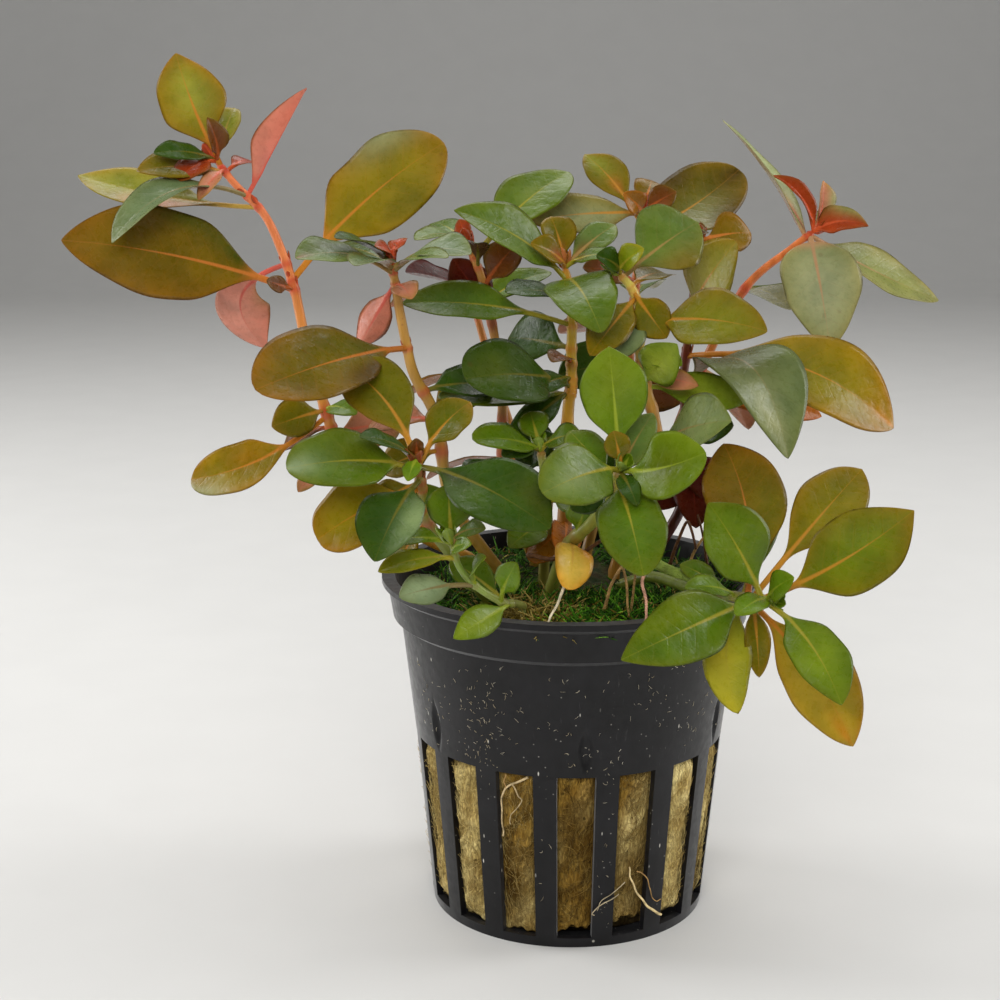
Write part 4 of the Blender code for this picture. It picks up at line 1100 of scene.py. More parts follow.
def make_leaf_skin():
    """A waxy leaf: its colours from the mesh, a crisp midrib, paired veins and a fine net.

    place holds a count that is whole on each vein, the share of the blade's length, and the
    way from the midrib in millimetres.
    """
    material, tree, shader, here = start_material("waxy_leaf")
    skin = read_layer(tree, "skin")
    rib_colour = read_layer(tree, "rib")["Color"]
    place = read_layer(tree, "place")["Vector"]
    parts = add_node(tree, "ShaderNodeSeparateXYZ", [("Vector", place)]).outputs
    off_vein = maths(tree, "PINGPONG", parts["X"], 0.5)
    off_rib = maths(tree, "ABSOLUTE", parts["Z"])
    inner = ramp(tree, skin["Alpha"], 0.45, 0.92, 1.0, 0.0)
    vein = maths(tree, "MULTIPLY", ramp(tree, off_vein, 0.0, 0.10, 1.0, 0.0), inner)
    rib_half = ramp(tree, parts["Y"], 0.0, 0.8, 0.36, 0.07)
    rib = ramp(tree, maths(tree, "DIVIDE", off_rib, rib_half), 0.3, 1.2, 1.0, 0.0)
    rib_share = ramp(tree, parts["Y"], 0.25, 0.98, 0.9, 0.2)
    pairs = [("Vector", here), ("Scale", 1250.0)]
    net = add_node(tree, "ShaderNodeTexVoronoi", pairs, feature="DISTANCE_TO_EDGE")
    mesh_line = ramp(tree, net.outputs["Distance"], 0.0, 0.16, 1.0, 0.0)
    margin = ramp(tree, skin["Alpha"], 0.975, 1.0)
    cloud = mottle(tree, here, 240.0)
    spots = specks(tree, here, 420.0, 0.035, 0.22)
    deep = scaled(tree, skin["Color"], 0.82, 0.86, 0.84)
    bright = scaled(tree, skin["Color"], 1.14, 1.12, 1.10)
    colour = blend_colour(tree, cloud["Broad"], deep, bright)
    colour = blend_colour(tree, cloud["Fine"], scaled(tree, colour, 0.92, 0.93, 0.92), colour)
    lighter = blend_colour(tree, 0.35, colour, rib_colour)
    colour = cover(tree, colour, [
        (mesh_line, 0.10, lighter), (vein, 0.16, lighter), (margin, 0.40, lighter),
        (spots, 0.22, solid(LEAF_SPOT)), (rib, rib_share, rib_colour),
    ])
    swell = maths(tree, "MULTIPLY", cloud["Broad"], 2.5)
    relief = maths(tree, "MULTIPLY_ADD", cloud["Fine"], 0.3, swell)
    relief = maths(tree, "SUBTRACT", relief, maths(tree, "MULTIPLY", vein, 0.3))
    relief = maths(tree, "SUBTRACT", relief, maths(tree, "MULTIPLY", mesh_line, 0.12))
    plug(tree, shader, [
        ("Base Color", colour), ("Roughness", ramp(tree, cloud["Fine"], 0.0, 1.0, 0.25, 0.38)),
        ("Specular IOR Level", 0.28), ("Normal", bump(tree, relief, 0.045)),
    ])
    return material


def make_stem_skin():
    """A smooth stem: its colours from the mesh, faint lengthwise streaks and small specks."""
    material, tree, shader, here = start_material("soft_stem")
    tint = read_layer(tree, "skin")["Color"]
    streaks = mottle(tree, stretch(tree, here, (1, 1, 0.2)), 900.0)
    colour = blend_colour(tree, streaks["Broad"], scaled(tree, tint, 0.74, 0.70, 0.66), tint)
    spots = specks(tree, here, 1100.0, 0.06, 0.25)
    colour = cover(tree, colour, [(spots, 0.5, solid(STEM_SPOT))])
    plug(tree, shader, [
        ("Base Color", colour), ("Roughness", ramp(tree, streaks["Fine"], 0.0, 1.0, 0.30, 0.42)),
        ("Normal", bump(tree, streaks["Broad"], 0.05)),
    ])
    return material


leaf_skins = [make_leaf_skin(), make_stem_skin()]
node_slots = {part["node"]: part["material_slot"] for part in frame["record"]["subparts"]}


def make_plant_piece(name, forms, node, with_stem):
    """Forms as one piece, the last of them a stem's, with its own material, if with_stem."""
    form = join_forms(forms)
    faces = [form["quads"], form["tris"]]
    layers = {"skin": form["skin"], "rib": form["rib"], "place": form["place"]}
    skins = leaf_skins if with_stem else leaf_skins[:1]
    piece = make_piece(name, form["points"], faces, skins, node_slots[node], [node], layers)
    if with_stem:
        kinds = [np.arange(len(form[key])) >= len(form[key]) - len(forms[-1][key])
                 for key in ("quads", "tris")]
        kinds = np.concatenate(kinds).astype(np.int32)
        piece.data.polygons.foreach_set("material_index", kinds)


def make_shoot(name, foot, thick, crown, colours, way, grown, young):
    """A shoot's full-grown leaves, one piece each, and its stem with young leaves and buds.

    foot is where it leaves the moss, thick its thickness there and at the crown, and crown the
    skin of its buds. colours are its stem's at the foot, at the crown and at the axils, and
    way the points that it passes.
    """
    route = np.array([(*foot, STEM_FOOT)] + way, dtype=float)
    for number, row in enumerate(grown, 1):
        form = leaf_form(*leaf_base(route, thick, row), row, *LEAF_GRID)
        make_plant_piece(f"blade_{name}_{number}", [form], f"leaf_{name}_{number}", False)
    forms = []
    for row in young:
        point, _ = stem_place(route, row["at"])
        forms.append(leaf_form(point, point, row, *YOUNG_GRID))
    last = len(route) - 1
    forms += bud_forms(*stem_place(route, last), crown, *CROWN_BUD, len(name))
    paired = np.unique([row["at"] for row in grown])
    for number, at in enumerate(paired[paired < last - 0.5]):
        forms += bud_forms(*stem_place(route, at), crown, *AXIL_BUD, number)
    axils = np.unique([row["at"] for row in grown + young])
    forms.append(stem_form(route, thick, colours, axils))
    make_plant_piece(f"shoot_{name}", forms, f"stem_{name}", True)


# The first of these colours is a painted sheen: the pale grey of the light over the plant reflected off
# the leaves' wax, laid into their colour.
PAINTED_SHEEN = (134, 136, 92)
RUST = (124, 60, 16)
DUSK = (66, 48, 10)
MOSSY = (62, 72, 14)
BLUSH = (216, 150, 130)
CORAL = (172, 72, 52)
LEMON = (134, 148, 40)

# Each call gives a shoot's foot, its thickness, the skin of its buds, the colours of its stem,
# the points that it passes, its full-grown leaves and its young ones.
make_shoot("tall_left", (-14, 5), (1.9, 1.0), "red", [
    (196, 142, 44), (222, 126, 76), (196, 66, 44),
], [
    (-25.5, 7, 56), (-33.5, 8, 66.5), (-36, 8, 72.5), (-39, 10, 83), (-40.5, 11, 90), (-42.5, 12, 96),
    (-45, 13, 101), (-49, 14, 105), (-52, 15, 108.5),
], [
    leaf(5, (-73, 4, 98), 13.5, (0, -0.95, 0.3), "bronze", 4, 1, 1, wave=0.25, widest=0.5, point=0.85,
         patches=[(0.8, 0.12, 0.45, MOSSY), (0.95, 0.42, 0.3, MOSSY)]),
    leaf(7.6, (-65, 0, 98), 8.5, (-0.2, -0.4, 1), "slate", 3, 4, fold=0.3, point=0.9),
    leaf(7.2, (-74, 22, 106), 9, (0, -0.5, 0.9), "lime", 4, -1, point=0.9, widest=0.6,
         patches=[(-0.6, 0.4, 0.5, (176, 116, 88)), (0, 1, 0.3, (150, 148, 84))]),
    leaf(8.7, (-58, 19, 124), 9.8, (0.2, -1, 0.2), "gold", 1, 1, -0.5, fold=0.1, point=0.9, widest=0.44,
         patches=[(0.1, 0.55, 0.6, (138, 138, 46))]),
    leaf(7.6, (-39, 20, 119), 5.6, (-0.9, 0.5, 0.3), "pink", 1, 0, fold=0.8, widest=0.36,
         patches=[(0, 0.2, 0.5, (200, 116, 108)), (0, 0.8, 0.9, CORAL)]),
    leaf(5.6, (-46, 20, 80), 8.5, (0.1, 0.9, 0.4), "pink", 3, 0, -5,
         patches=[(-0.3, 0.5, 0.9, BLUSH), (0.9, 0.3, 0.5, (132, 112, 50))]),
    leaf(5.2, (-18.5, 18, 111), 14, (-0.3, -0.95, 0.3), "gold", 6, 1, -1, fold=0.12, widest=0.5,
         point=0.56, wave=0.2, patches=[(-0.95, 0.7, 0.4, PAINTED_SHEEN), (0.7, 0.6, 0.5, (104, 96, 12))]),
    leaf(2.9, (-56, 6, 62.5), 8.5, (0, -0.7, 0.7), "gold", 6, 1, -2.5, point=0.52,
         patches=[(-0.9, 0.85, 0.5, PAINTED_SHEEN), (0.3, 0.4, 0.5, (146, 104, 10))]),
], [
    leaf(9, (-52.5, 11, 115), 3.4, (0.8, -1, 0), "brown", fold=0.7, point=0.9),
    leaf(9, (-50, 22, 116), 4, (0, -1, 0.2), "lime", fold=0.7),
    leaf(8.6, (-53.5, 6, 103.5), 2.6, (0.2, -0.6, 0.8), "rose", fold=0.6),
    leaf(9, (-60, 8, 110), 4.5, (0.2, -0.6, 0.8), "dark"),
    leaf(8.5, (-62.5, 8, 107.5), 6.5, (0, -0.6, 0.8), "olive", patches=[(0, 0.2, 0.5, (150, 84, 26))]),
    leaf(9, (-57, 8, 106), 5, (0, -0.6, 0.8), "red"),
    leaf(8.5, (-47, 20, 108), 3.5, (0, -0.5, 1), "red"),
    leaf(5, (-44, 6, 92), 2.5, (0, -1, 0.3), "brown", arch=0),
    leaf(3, (-43.5, 3, 71), 6, (0.2, -0.9, 0.4), "olive"),
    leaf(2.6, (-43, 12, 66), 5.5, (0, -0.6, 0.8), "brown"),
    leaf(2, (-40, 4, 61), 4, (0, -0.6, 0.8), "rose"),
    leaf(3, (-31, 2, 73), 4.5, (0, -0.6, 0.8), "fresh"),
    leaf(2.4, (-25, 10, 70), 7, (0, -0.8, 0.5), "rose", point=0.6),
])

make_shoot("left", (-9, -7), (1.8, 1.1), "red", [
    (168, 132, 48), (196, 146, 66), (186, 74, 48),
], [
    (-17, -8, 62.5), (-19, -8, 74), (-22, -9, 80.5), (-23, -9.5, 84.5), (-24, -10, 90),
    (-24.5, -10, 93.5), (-25, -10, 96),
], [
    leaf(6.5, (-37, -20, 98), 8.5, (0, -0.4, 1), "grey", 2, 1.5,
         patches=[(0.5, 0.6, 0.6, MOSSY), (0, 1, 0.3, (120, 82, 56))]),
    leaf(6.6, (-14, -14, 98), 8.5, (0, -0.3, 1), "slate", 2, 1.5),
    leaf(4, (-41, -34, 83), 11.5, (0, -0.8, 0.55), "bronze", 3, 1.5, point=0.55, widest=0.6,
         patches=[(0.3, 0.3, 0.7, (78, 80, 10)), (-0.1, 0.6, 0.6, (96, 82, 6)),
         (-0.8, 0.3, 0.4, DUSK)]),
], [
    leaf(7, (-32, -18, 100.5), 5.5, (0, -0.3, 1), "dark"),
    leaf(7, (-35, 4, 97), 6.5, (0, -0.3, 1), "dark"),
    leaf(7, (-27, -14, 99), 3, (0.5, -0.5, 1), "red"),
    leaf(7, (-23, -8, 99.5), 3, (-0.5, -0.5, 0.5), "red"),
    leaf(6.8, (-29, -24, 97.5), 6, (0, -0.4, 1), "slate"),
    leaf(6.8, (-17, -19, 98), 4.5, (0, -0.4, 1), "grey"),
    leaf(6, (-30, -6, 84), 4.6, (0.3, 0.9, 0.3), "pink", arch=-1, fold=0.9),
    leaf(5.8, (-22, -15, 92), 4, (0, -0.6, 0.8), "rose"),
    leaf(2.6, (-11, -3, 78), 7, (0, -0.6, 0.8), "dark"),
    leaf(2, (-29, -1, 72), 6, (0, -0.6, 0.8), "rose"),
    leaf(1.6, (-27, -9, 67), 6, (0, -0.7, 0.7), "olive"),
])

make_shoot("mid_left", (-5, 5), (1.7, 1.0), "red", [
    (160, 128, 48), (204, 150, 70), (190, 72, 46),
], [
    (-9.5, 5, 62.5), (-10, 4, 77.5), (-12.5, 2, 91.5), (-14.5, 2, 97),
], [
    leaf(2.8, (-24, 8, 93), 8, (0, 0.5, 0.85), "maroon", 2),
    leaf(3.7, (0, 14, 107), 9.5, (0, -0.5, 0.9), "green", 3, 1.5,
         patches=[(0, 0.6, 0.6, (98, 112, 46))]),
], [
    leaf(4, (-22, -6, 99), 5.5, (0, -0.3, 1), "grey", arch=1.5),
    leaf(4, (-20, 9, 100), 4.5, (0, -0.4, 1), "green"),
    leaf(3.4, (-13.5, -5, 98.5), 3.4, (0, -0.7, 0.6), "dark", fold=0.4, point=0.9),
    leaf(3, (-7.5, 2, 98), 5.5, (-0.4, -1, 0.1), "brown", fold=0.4, point=0.85),
    leaf(2.6, (-17, 3, 95.5), 6, (0, -0.7, 0.5), "maroon"),
    leaf(4, (-16, 4, 101), 2.5, (0, -1, 0.2), "red", arch=0),
    leaf(2, (-19.5, 3, 74), 7, (0, -0.7, 0.7), "olive"),
    leaf(1.3, (-13, 9, 60), 8, (0, -0.8, 0.5), "dark"),
    leaf(1.6, (-3, 0, 66), 7, (0, -0.7, 0.6), "dark"),
])

make_shoot("front_left", (-12, -15), (1.8, 1.2), "brown", [
    (128, 140, 50), (146, 140, 52), (176, 84, 50),
], [
    (-20, -22, 63), (-20.5, -26, 68.5), (-21, -28, 72.5),
], [
    leaf(2.6, (-32, -18, 84), 9, (0.2, -0.8, 0.6), "olive", 3, 1, 1.5,
         patches=[(0.4, 0.5, 0.9, (90, 90, 6)), (0.5, 0.9, 0.3, (104, 84, 10))]),
    leaf(2.8, (-14, -26, 80), 6.8, (-0.3, -0.7, 0.7), "olive", 1,
         patches=[(0, 0.5, 0.8, (84, 90, 8)), (0.3, 1, 0.3, (132, 96, 30))]),
    leaf(2.8, (-4, -42, 67), 10.5, (0.1, -0.7, 0.7), "dark", 2, 2, widest=0.6,
         patches=[(0.4, 0.4, 0.5, (62, 86, 12)), (-0.5, 0.8, 0.4, MOSSY),
         (0.2, 0.1, 0.5, (40, 46, 6))]),
    # The pale patch at this leaf's tip is a painted sheen.
    leaf(2.7, (-37, -37, 73.5), 9.5, (-0.1, -0.7, 0.7), "green", 2, 1.5, point=0.55,
         patches=[(0.3, 0.4, 0.6, (82, 92, 12)), (0, 1, 0.5, (136, 150, 110))]),
    leaf(2, (-34, -30, 62.5), 9.5, (-0.3, -0.8, 0.5), "gold", 2, 1.5, point=0.45,
         patches=[(0.4, 0.3, 0.8, (134, 120, 12))]),
    # The pale grey-green patch at this leaf's left is a painted sheen.
    leaf(2.3, (-26, -39, 62), 8.5, (-0.2, -0.9, 0.4), "dark", 1.5, 1.5, fold=0.35,
         patches=[(-0.8, 0.5, 0.6, (124, 142, 92))]),
], [
    leaf(3, (-28, -34, 77), 4.5, (0, -0.5, 1), "dark"),
    leaf(3, (-22, -33, 71), 2.5, (0, -0.8, 0.6), "fresh"),
    leaf(3, (-21, -30, 76), 2, (0.2, -1, 0.2), "brown", arch=0),
    leaf(2.2, (-27, -27, 66), 4.5, (-0.2, -0.9, 0.4), "olive"),
    leaf(1, (-24, -20, 56), 5, (-0.3, -0.8, 0.5), "gold"),
    leaf(1.3, (-20.5, -25, 69), 6.5, (0.1, -0.95, 0.3), "green"),
])

make_shoot("centre", (-1, -1), (1.9, 1.2), "amber", [
    (186, 138, 40), (192, 160, 44), (196, 126, 46),
], [
    (-0.5, -1, 72.5), (0, 0, 77.5), (0, 0, 83), (0, 0, 88.5), (-1, 0, 94.5),
], [
    leaf(4.7, (-16.5, -8, 103.3), 9.6, (-0.1, -0.6, 0.8), "green", 1, 1.5, neck=0.3, widest=0.5,
         point=0.95, patches=[(0, 0.5, 0.8, (82, 100, 38))]),
    leaf(4.7, (3.4, -16, 87.6), 10, (0.1, -0.95, 0.35), "green", 0.6, 2, widest=0.38, point=0.66,
         neck=0.0, patches=[(0.2, 0.5, 0.9, (78, 98, 26))]),
    leaf(3.6, (-24, -4, 90), 8, (0, -0.55, 0.85), "green", 5, 1.5,
         patches=[(0, 0.6, 0.6, (80, 106, 40))]),
    leaf(2, (-15, -14, 81), 12, (-0.1, -0.75, 0.65), "dark", 4, 1.5, point=0.5,
         patches=[(0.2, 0.7, 0.6, (72, 84, 22))]),
], [
    leaf(4.2, (-9.5, -8, 92), 6, (0, -0.5, 1), "dark"),
    leaf(5, (-3, 3, 101.5), 5, (0.2, -1, 0.2), "olive", fold=0.6, point=0.9,
         patches=[(0, 0.1, 0.5, RUST)]),
    leaf(5, (6.5, 6, 100), 5, (0, -0.7, 0.7), "grey", point=0.9, patches=[(0, 0.1, 0.5, RUST)]),
    leaf(5, (6, -3, 96.5), 4, (0, -0.5, 1), "green", patches=[(0, 0.1, 0.5, RUST)]),
    leaf(5, (-6, -5, 98.5), 4, (0.2, -0.7, 0.5), "olive", fold=0.5, patches=[(0, 0.15, 0.6, CORAL)]),
    leaf(1.6, (-19, -6, 77), 9, (0, -0.5, 0.9), "green"),
    leaf(3, (-9, 10, 83), 8.5, (-0.3, -0.8, 0.5), "dark"),
    leaf(2.6, (-3, -6, 82), 4, (0, -0.5, 0.9), "brown"),
    leaf(1.8, (-9, -7, 70.5), 5, (0, -0.6, 0.8), "dark"),
    leaf(2.2, (-6, -9, 78), 4.5, (0, -0.7, 0.8), "dark"),
    leaf(0.3, (-6.3, -14, 55.5), 4.8, (0, -1, 0.2), "amber", 1.5, point=0.45),
    leaf(0.3, (-1.8, -13, 56.2), 4.8, (0.1, -1, 0.2), "orange", 1.5, point=0.45,
         patches=[(0, 0.5, 0.6, RUST)]),
    leaf(0.8, (5, -4, 64), 8, (0.1, -0.8, 0.6), "dark"),
    leaf(0.9, (-8, 3, 66), 7, (0, -0.8, 0.6), "dark"),
])

make_shoot("mid_right", (6.5, -0.5), (1.8, 1.1), "fresh", [
    (186, 134, 54), (206, 190, 84), (196, 140, 62),
], [
    (12, -2, 68.5), (10.5, -3, 78), (9.5, -3, 83.5), (10, -3, 86.5), (8.5, -3, 91.5), (6.5, -3, 94),
], [
    leaf(5.8, (18, 3, 100.7), 11, (0, -0.85, 0.5), "grey", 1, wave=0.25, point=1.0,
         patches=[(0.9, 0.45, 0.7, (112, 92, 18)), (-0.3, 0.4, 0.5, (86, 106, 30))]),
    leaf(4, (26, -14, 87.5), 10, (0, -0.75, 0.65), "olive", 3, 2, widest=0.46,
         patches=[(0.2, 0.5, 0.9, (112, 112, 20))]),
    # The pale grey-green patch on this leaf is a painted sheen.
    leaf(1, (21, -18, 76), 9.5, (0, -0.8, 0.55), "grey", 2, 1.5, point=0.9,
         patches=[(0, 0.6, 0.9, (126, 138, 80))]),
], [
    leaf(6, (9.6, -7, 98), 3.8, (-0.5, -0.8, 0.3), "citron", fold=0.5),
    leaf(6, (3, -7, 97), 3.6, (0.5, -0.7, 0.4), "dark", fold=0.5),
    leaf(5, (13, -7, 85.5), 5.6, (-0.3, -0.8, 0.4), "olive", point=0.85,
         patches=[(0.5, 0.5, 0.5, (86, 84, 14))]),
    leaf(5.2, (14, 4, 93), 6, (-0.3, -0.6, 0.7), "olive"),
    leaf(4.8, (2, -13, 84), 6, (0.2, -0.7, 0.7), "olive"),
    leaf(4.4, (5.5, -10, 83), 5, (0.2, -0.7, 0.7), "slate"),
    leaf(2.1, (14, -12, 85.5), 6.4, (0.1, -0.9, 0.4), "fresh", point=0.9,
         patches=[(0, 0.5, 0.9, (158, 170, 56))]),
    leaf(2.6, (15, -9, 82), 4, (-0.2, -0.6, 0.8), "fresh"),
    leaf(2, (25, -3, 76), 6, (0, -0.8, 0.6), "fresh", patches=[(0, 0.5, 0.9, LEMON)]),
    leaf(2.3, (17.5, -8, 79), 3.2, (-0.4, -0.8, 0.3), "rose", fold=0.6),
    leaf(1.2, (7, -12, 72), 5.5, (0, -0.7, 0.7), "slate"),
    leaf(0.8, (12, -6, 64), 7.5, (0, -0.8, 0.6), "dark"),
    leaf(1.6, (5, 1, 77), 7, (0, -0.8, 0.5), "dark"),
])

make_shoot("back_top", (3, 11), (1.7, 1.0), "red", [
    (150, 112, 44), (198, 128, 66), (186, 74, 44),
], [
    (8.5, 15, 73), (10, 17, 87.5), (11, 18, 100.5),
], [
    leaf(2.9, (2.6, 24, 109), 6.4, (0, -0.6, 0.8), "olive", 1, point=0.95,
         patches=[(0, 0.3, 0.4, (150, 92, 26)), (0, 0.8, 0.6, (116, 120, 36))]),
    leaf(2.8, (27.5, 35, 106), 12, (0.1, -0.7, 0.7), "olive", 3, -2, widest=0.52, point=0.5,
         patches=[(0.5, 0.45, 0.5, PAINTED_SHEEN), (1, 0.6, 0.6, DUSK), (-1, 0.5, 0.6, DUSK),
         (0, 1, 0.6, DUSK)]),
], [
    leaf(3, (-6, 12, 100), 7, (0, -0.8, 0.6), "olive", patches=[(-0.2, 0.5, 0.9, PAINTED_SHEEN)]),
    leaf(3, (8, 14, 104), 3.6, (0.2, -1, 0.2), "amber", fold=0.5, point=0.9),
    leaf(3, (16, 16, 104), 4, (-0.2, -1, 0.3), "brown", fold=0.5, point=0.9),
    leaf(3, (13, 25, 105), 5, (0, -1, 0.4), "bronze", point=0.9),
    leaf(2, (14, 29, 88), 7, (0, 0.5, 0.9), "green", arch=1.5),
    leaf(1.6, (-1, 28, 81), 7.5, (0, 0.6, 0.8), "olive", arch=1.5),
    leaf(1.3, (-1.5, 13, 77), 8, (0, -0.8, 0.5), "dark"),
    leaf(1.1, (18, 12, 74), 8, (0, -0.8, 0.5), "brown"),
    leaf(2.2, (2, 13, 93), 5.5, (0, -0.7, 0.7), "brown"),
])

make_shoot("right", (12.5, 7), (1.8, 1.0), "brown", [
    (78, 30, 18), (110, 56, 34), (120, 44, 30),
], [
    (17, 8, 58), (18, 8, 66.5), (17, 9, 76), (18, 10, 87), (19, 12, 97),
], [
    leaf(3, (30, -10, 69), 14.5, (0.3, -0.6, 0.75), "slate", 1, 9, widest=0.48,
         patches=[(0, 0.25, 1.1, (70, 74, 4)), (0.3, 0.85, 0.5, PAINTED_SHEEN)]),
    leaf(3.4, (47, 2, 71), 13.5, (0.1, -0.7, 0.7), "gold", 4, 6, widest=0.6,
         patches=[(0.3, 0.4, 0.6, (110, 104, 24)), (0, 1, 0.3, (176, 112, 14))]),
], [
    leaf(4, (23.6, 3, 98), 9.5, (-0.3, -0.8, 0.5), "olive", 1, widest=0.48,
         patches=[(0.1, 0.5, 0.9, (148, 142, 58))]),
    leaf(5, (16, 6, 100), 5, (0, -0.6, 0.8), "grey"),
    leaf(5, (27, 14, 98), 6.5, (0, -0.8, 0.5), "bronze"),
    leaf(3, (38, 11, 71), 6, (0.2, -0.8, 0.5), "orange", arch=2),
    leaf(2, (13, 1, 59), 7.5, (0, -0.7, 0.6), "maroon"),
    leaf(2, (22, -1, 60), 7, (0, -0.7, 0.7), "maroon"),
    leaf(2, (18, -4, 57.5), 6.5, (0, -0.8, 0.5), "maroon"),
    leaf(2.2, (24, 4, 71), 6, (0, -0.7, 0.6), "dark"),
    leaf(2.6, (28, 19, 72), 7, (0.2, 0.5, 0.8), "green", arch=1.5),
])

make_shoot("far_right", (9, 14), (1.7, 1.0), "red", [
    (150, 104, 40), (206, 112, 52), (190, 66, 40),
], [
    (15, 16, 63.5), (20.5, 18, 77), (27, 20, 89), (34, 21, 95), (37.5, 22, 97.5),
], [
    # The pale patch on this leaf is a painted sheen.
    leaf(4.8, (39, 12, 81), 12, (0, -0.9, 0.4), "pale", 0.3, widest=0.38, neck=0.1,
         patches=[(0, 0.5, 0.9, (142, 144, 106))]),
    leaf(4.8, (58, 26, 86.5), 10.5, (0, -0.5, 0.9), "pale", 1, -0.5, point=0.85,
         patches=[(0, 0.05, 0.3, (176, 86, 60)), (0.2, 0.6, 0.6, (128, 130, 60))]),
], [
    # The large pale patch on this leaf is a painted sheen.
    leaf(4.6, (24, 30, 114), 5.2, (0.74, -0.3, 0.6), "pale", 0.5, fold=0.4, widest=0.3,
         patches=[(0, 0.6, 1.4, (156, 164, 120)), (0, 0.1, 0.35, (184, 60, 34))]),
    leaf(5, (31, 23, 106), 3.2, (0.6, -0.7, 0.4), "red", 0.5, sweep=1.2, fold=0.8, point=0.95,
         widest=0.4),
    leaf(5, (45.5, 20, 98.5), 4.8, (0.1, -0.8, 0.5), "red", 0.5, sweep=-0.8, fold=0.6, point=1.0,
         widest=0.34, patches=[(-1, 0.6, 0.6, (138, 140, 78))]),
    leaf(5, (38.5, 24, 105), 3.6, (0.6, -0.8, 0.2), "rose", 0.5, fold=0.8, point=0.9, curl=0.8,
         patches=[(0.9, 0.6, 0.5, (150, 156, 104))]),
    leaf(5, (42, 29, 100), 4, (0, 0.3, 1), "green"),
    leaf(3, (36, 33, 84), 8, (0.1, 0.5, 0.9), "green", arch=1.5),
    leaf(2, (29, 26, 66), 7, (0.3, 0.4, 0.9), "olive", arch=1.5),
])

make_shoot("front_centre", (-3, -11), (2.0, 1.3), "fresh", [
    (136, 142, 58), (140, 146, 60), (150, 120, 52),
], [
    (-1, -15, 57.5), (2.5, -21, 63), (4.5, -27, 69), (5.5, -30, 72),
], [
    leaf(3.8, (4, -24, 87), 9, (0, -0.95, 0.3), "fresh", 1.5, fold=0.1, point=0.95,
         patches=[(0, 0.7, 0.9, (98, 112, 18))]),
    # The pale grey-green patch on this leaf is a painted sheen.
    leaf(3.9, (-5, -42, 71.5), 8.8, (-0.1, -0.85, 0.5), "green", 1.5, 1.5, point=0.5,
         patches=[(0, 0.6, 0.6, (118, 130, 78))]),
    leaf(3.9, (15.5, -38, 75.8), 8.8, (0.1, -0.85, 0.5), "fresh", 0.4, 1, 1, point=0.6,
         patches=[(0, 0.5, 0.9, (82, 92, 8))]),
    leaf(3.3, (7.5, -44, 61.5), 8.8, (0, -0.85, 0.5), "green", 1.5, 2, point=0.6),
], [
    leaf(4, (4.4, -30, 77), 3.5, (0, -1, 0.2), "olive"),
    leaf(3.7, (7, -38, 69), 3, (0, -0.8, 0.6), "dark"),
    leaf(3, (-1, -20, 75), 5, (0, -0.8, 0.6), "green"),
    leaf(3, (10, -23, 78), 5, (-0.1, -0.8, 0.6), "grey"),
    leaf(3.2, (-1, -30, 66.5), 5, (0, -0.8, 0.6), "dark"),
    leaf(1.15, (-1.1, -24, 54), 5.4, (0.2, -0.9, 0.4), "yellow", 0.8, 1.6, fold=0.35, point=0.5,
         patches=[(-0.9, 0.3, 0.4, (196, 116, 26))]),
    leaf(1.4, (2, -20, 66), 4.5, (0, -0.8, 0.6), "fresh"),
])

make_shoot("front_right", (7, -8), (1.7, 1.2), "fresh", [
    (128, 140, 56), (120, 140, 50), (140, 120, 48),
], [
    (11, -13, 52.8), (16, -19, 52.8), (21.5, -23, 52.8), (25.5, -27, 53.5),
], [
    leaf(3.35, (21, -9, 71), 11, (-0.1, -0.85, 0.5), "bronze", 2, 1, 1.5,
         patches=[(0.6, 0.4, 0.6, (98, 94, 10)), (-0.3, 0.8, 0.5, (112, 90, 12))]),
    leaf(3.8, (17, -28, 67), 9.6, (0.2, -0.85, 0.5), "green", 1, point=0.9,
         patches=[(0, 0.5, 0.7, (98, 116, 18))]),
    leaf(3.5, (40, -12, 68), 9, (0, -0.8, 0.6), "olive", 5, 1.5, point=0.9, widest=0.6,
         patches=[(0.3, 0.5, 0.6, (120, 110, 12))]),
    leaf(3.8, (44, -28, 66), 11, (0.1, -0.8, 0.6), "olive", 2, 1, 1, widest=0.5, point=1.0,
         patches=[(0, 0.5, 0.9, (98, 112, 12)), (0.4, 1, 0.3, (122, 96, 18))]),
    leaf(3.6, (5, -42, 50), 9, (0.1, -0.88, 0.46), "green", 3, 1.5, widest=0.48, point=0.9,
         patches=[(0.5, 0.6, 0.5, (98, 112, 14))]),
    leaf(3.8, (33, -42, 44), 8, (0.2, -0.85, 0.5), "green", 1.5, 1.5, -0.5, point=0.9,
         patches=[(0, 0.5, 0.9, (106, 124, 12))]),
    leaf(3.3, (37, -30, 34), 9.8, (0.1, -0.9, 0.4), "gold", 2, 1, -1, point=0.85,
         patches=[(0.2, 0.6, 0.9, (186, 156, 44)), (-0.8, 0.4, 0.3, RUST),
         (0.2, 0.9, 0.3, (176, 118, 26))]),
], [
    leaf(3.2, (21, -34, 40), 6.6, (0, -0.9, 0.4), "citron", sweep=2,
         patches=[(0.2, 0.6, 0.9, (182, 166, 44))]),
    leaf(3.5, (24, -31, 44), 3.5, (0, -0.9, 0.4), "olive"),
    leaf(4, (28, -32, 58), 4, (-0.2, -0.8, 0.6), "fresh"),
    leaf(4, (20, -36, 54), 4, (0, -0.6, 0.8), "fresh"),
    leaf(3, (14, -30, 56), 4, (0, -0.6, 0.8), "fresh"),
    leaf(2.7, (14, -22, 57), 4, (0, -0.6, 0.8), "green"),
    leaf(3.2, (29, -8, 66), 4, (0, -0.9, 0.4), "green"),
])

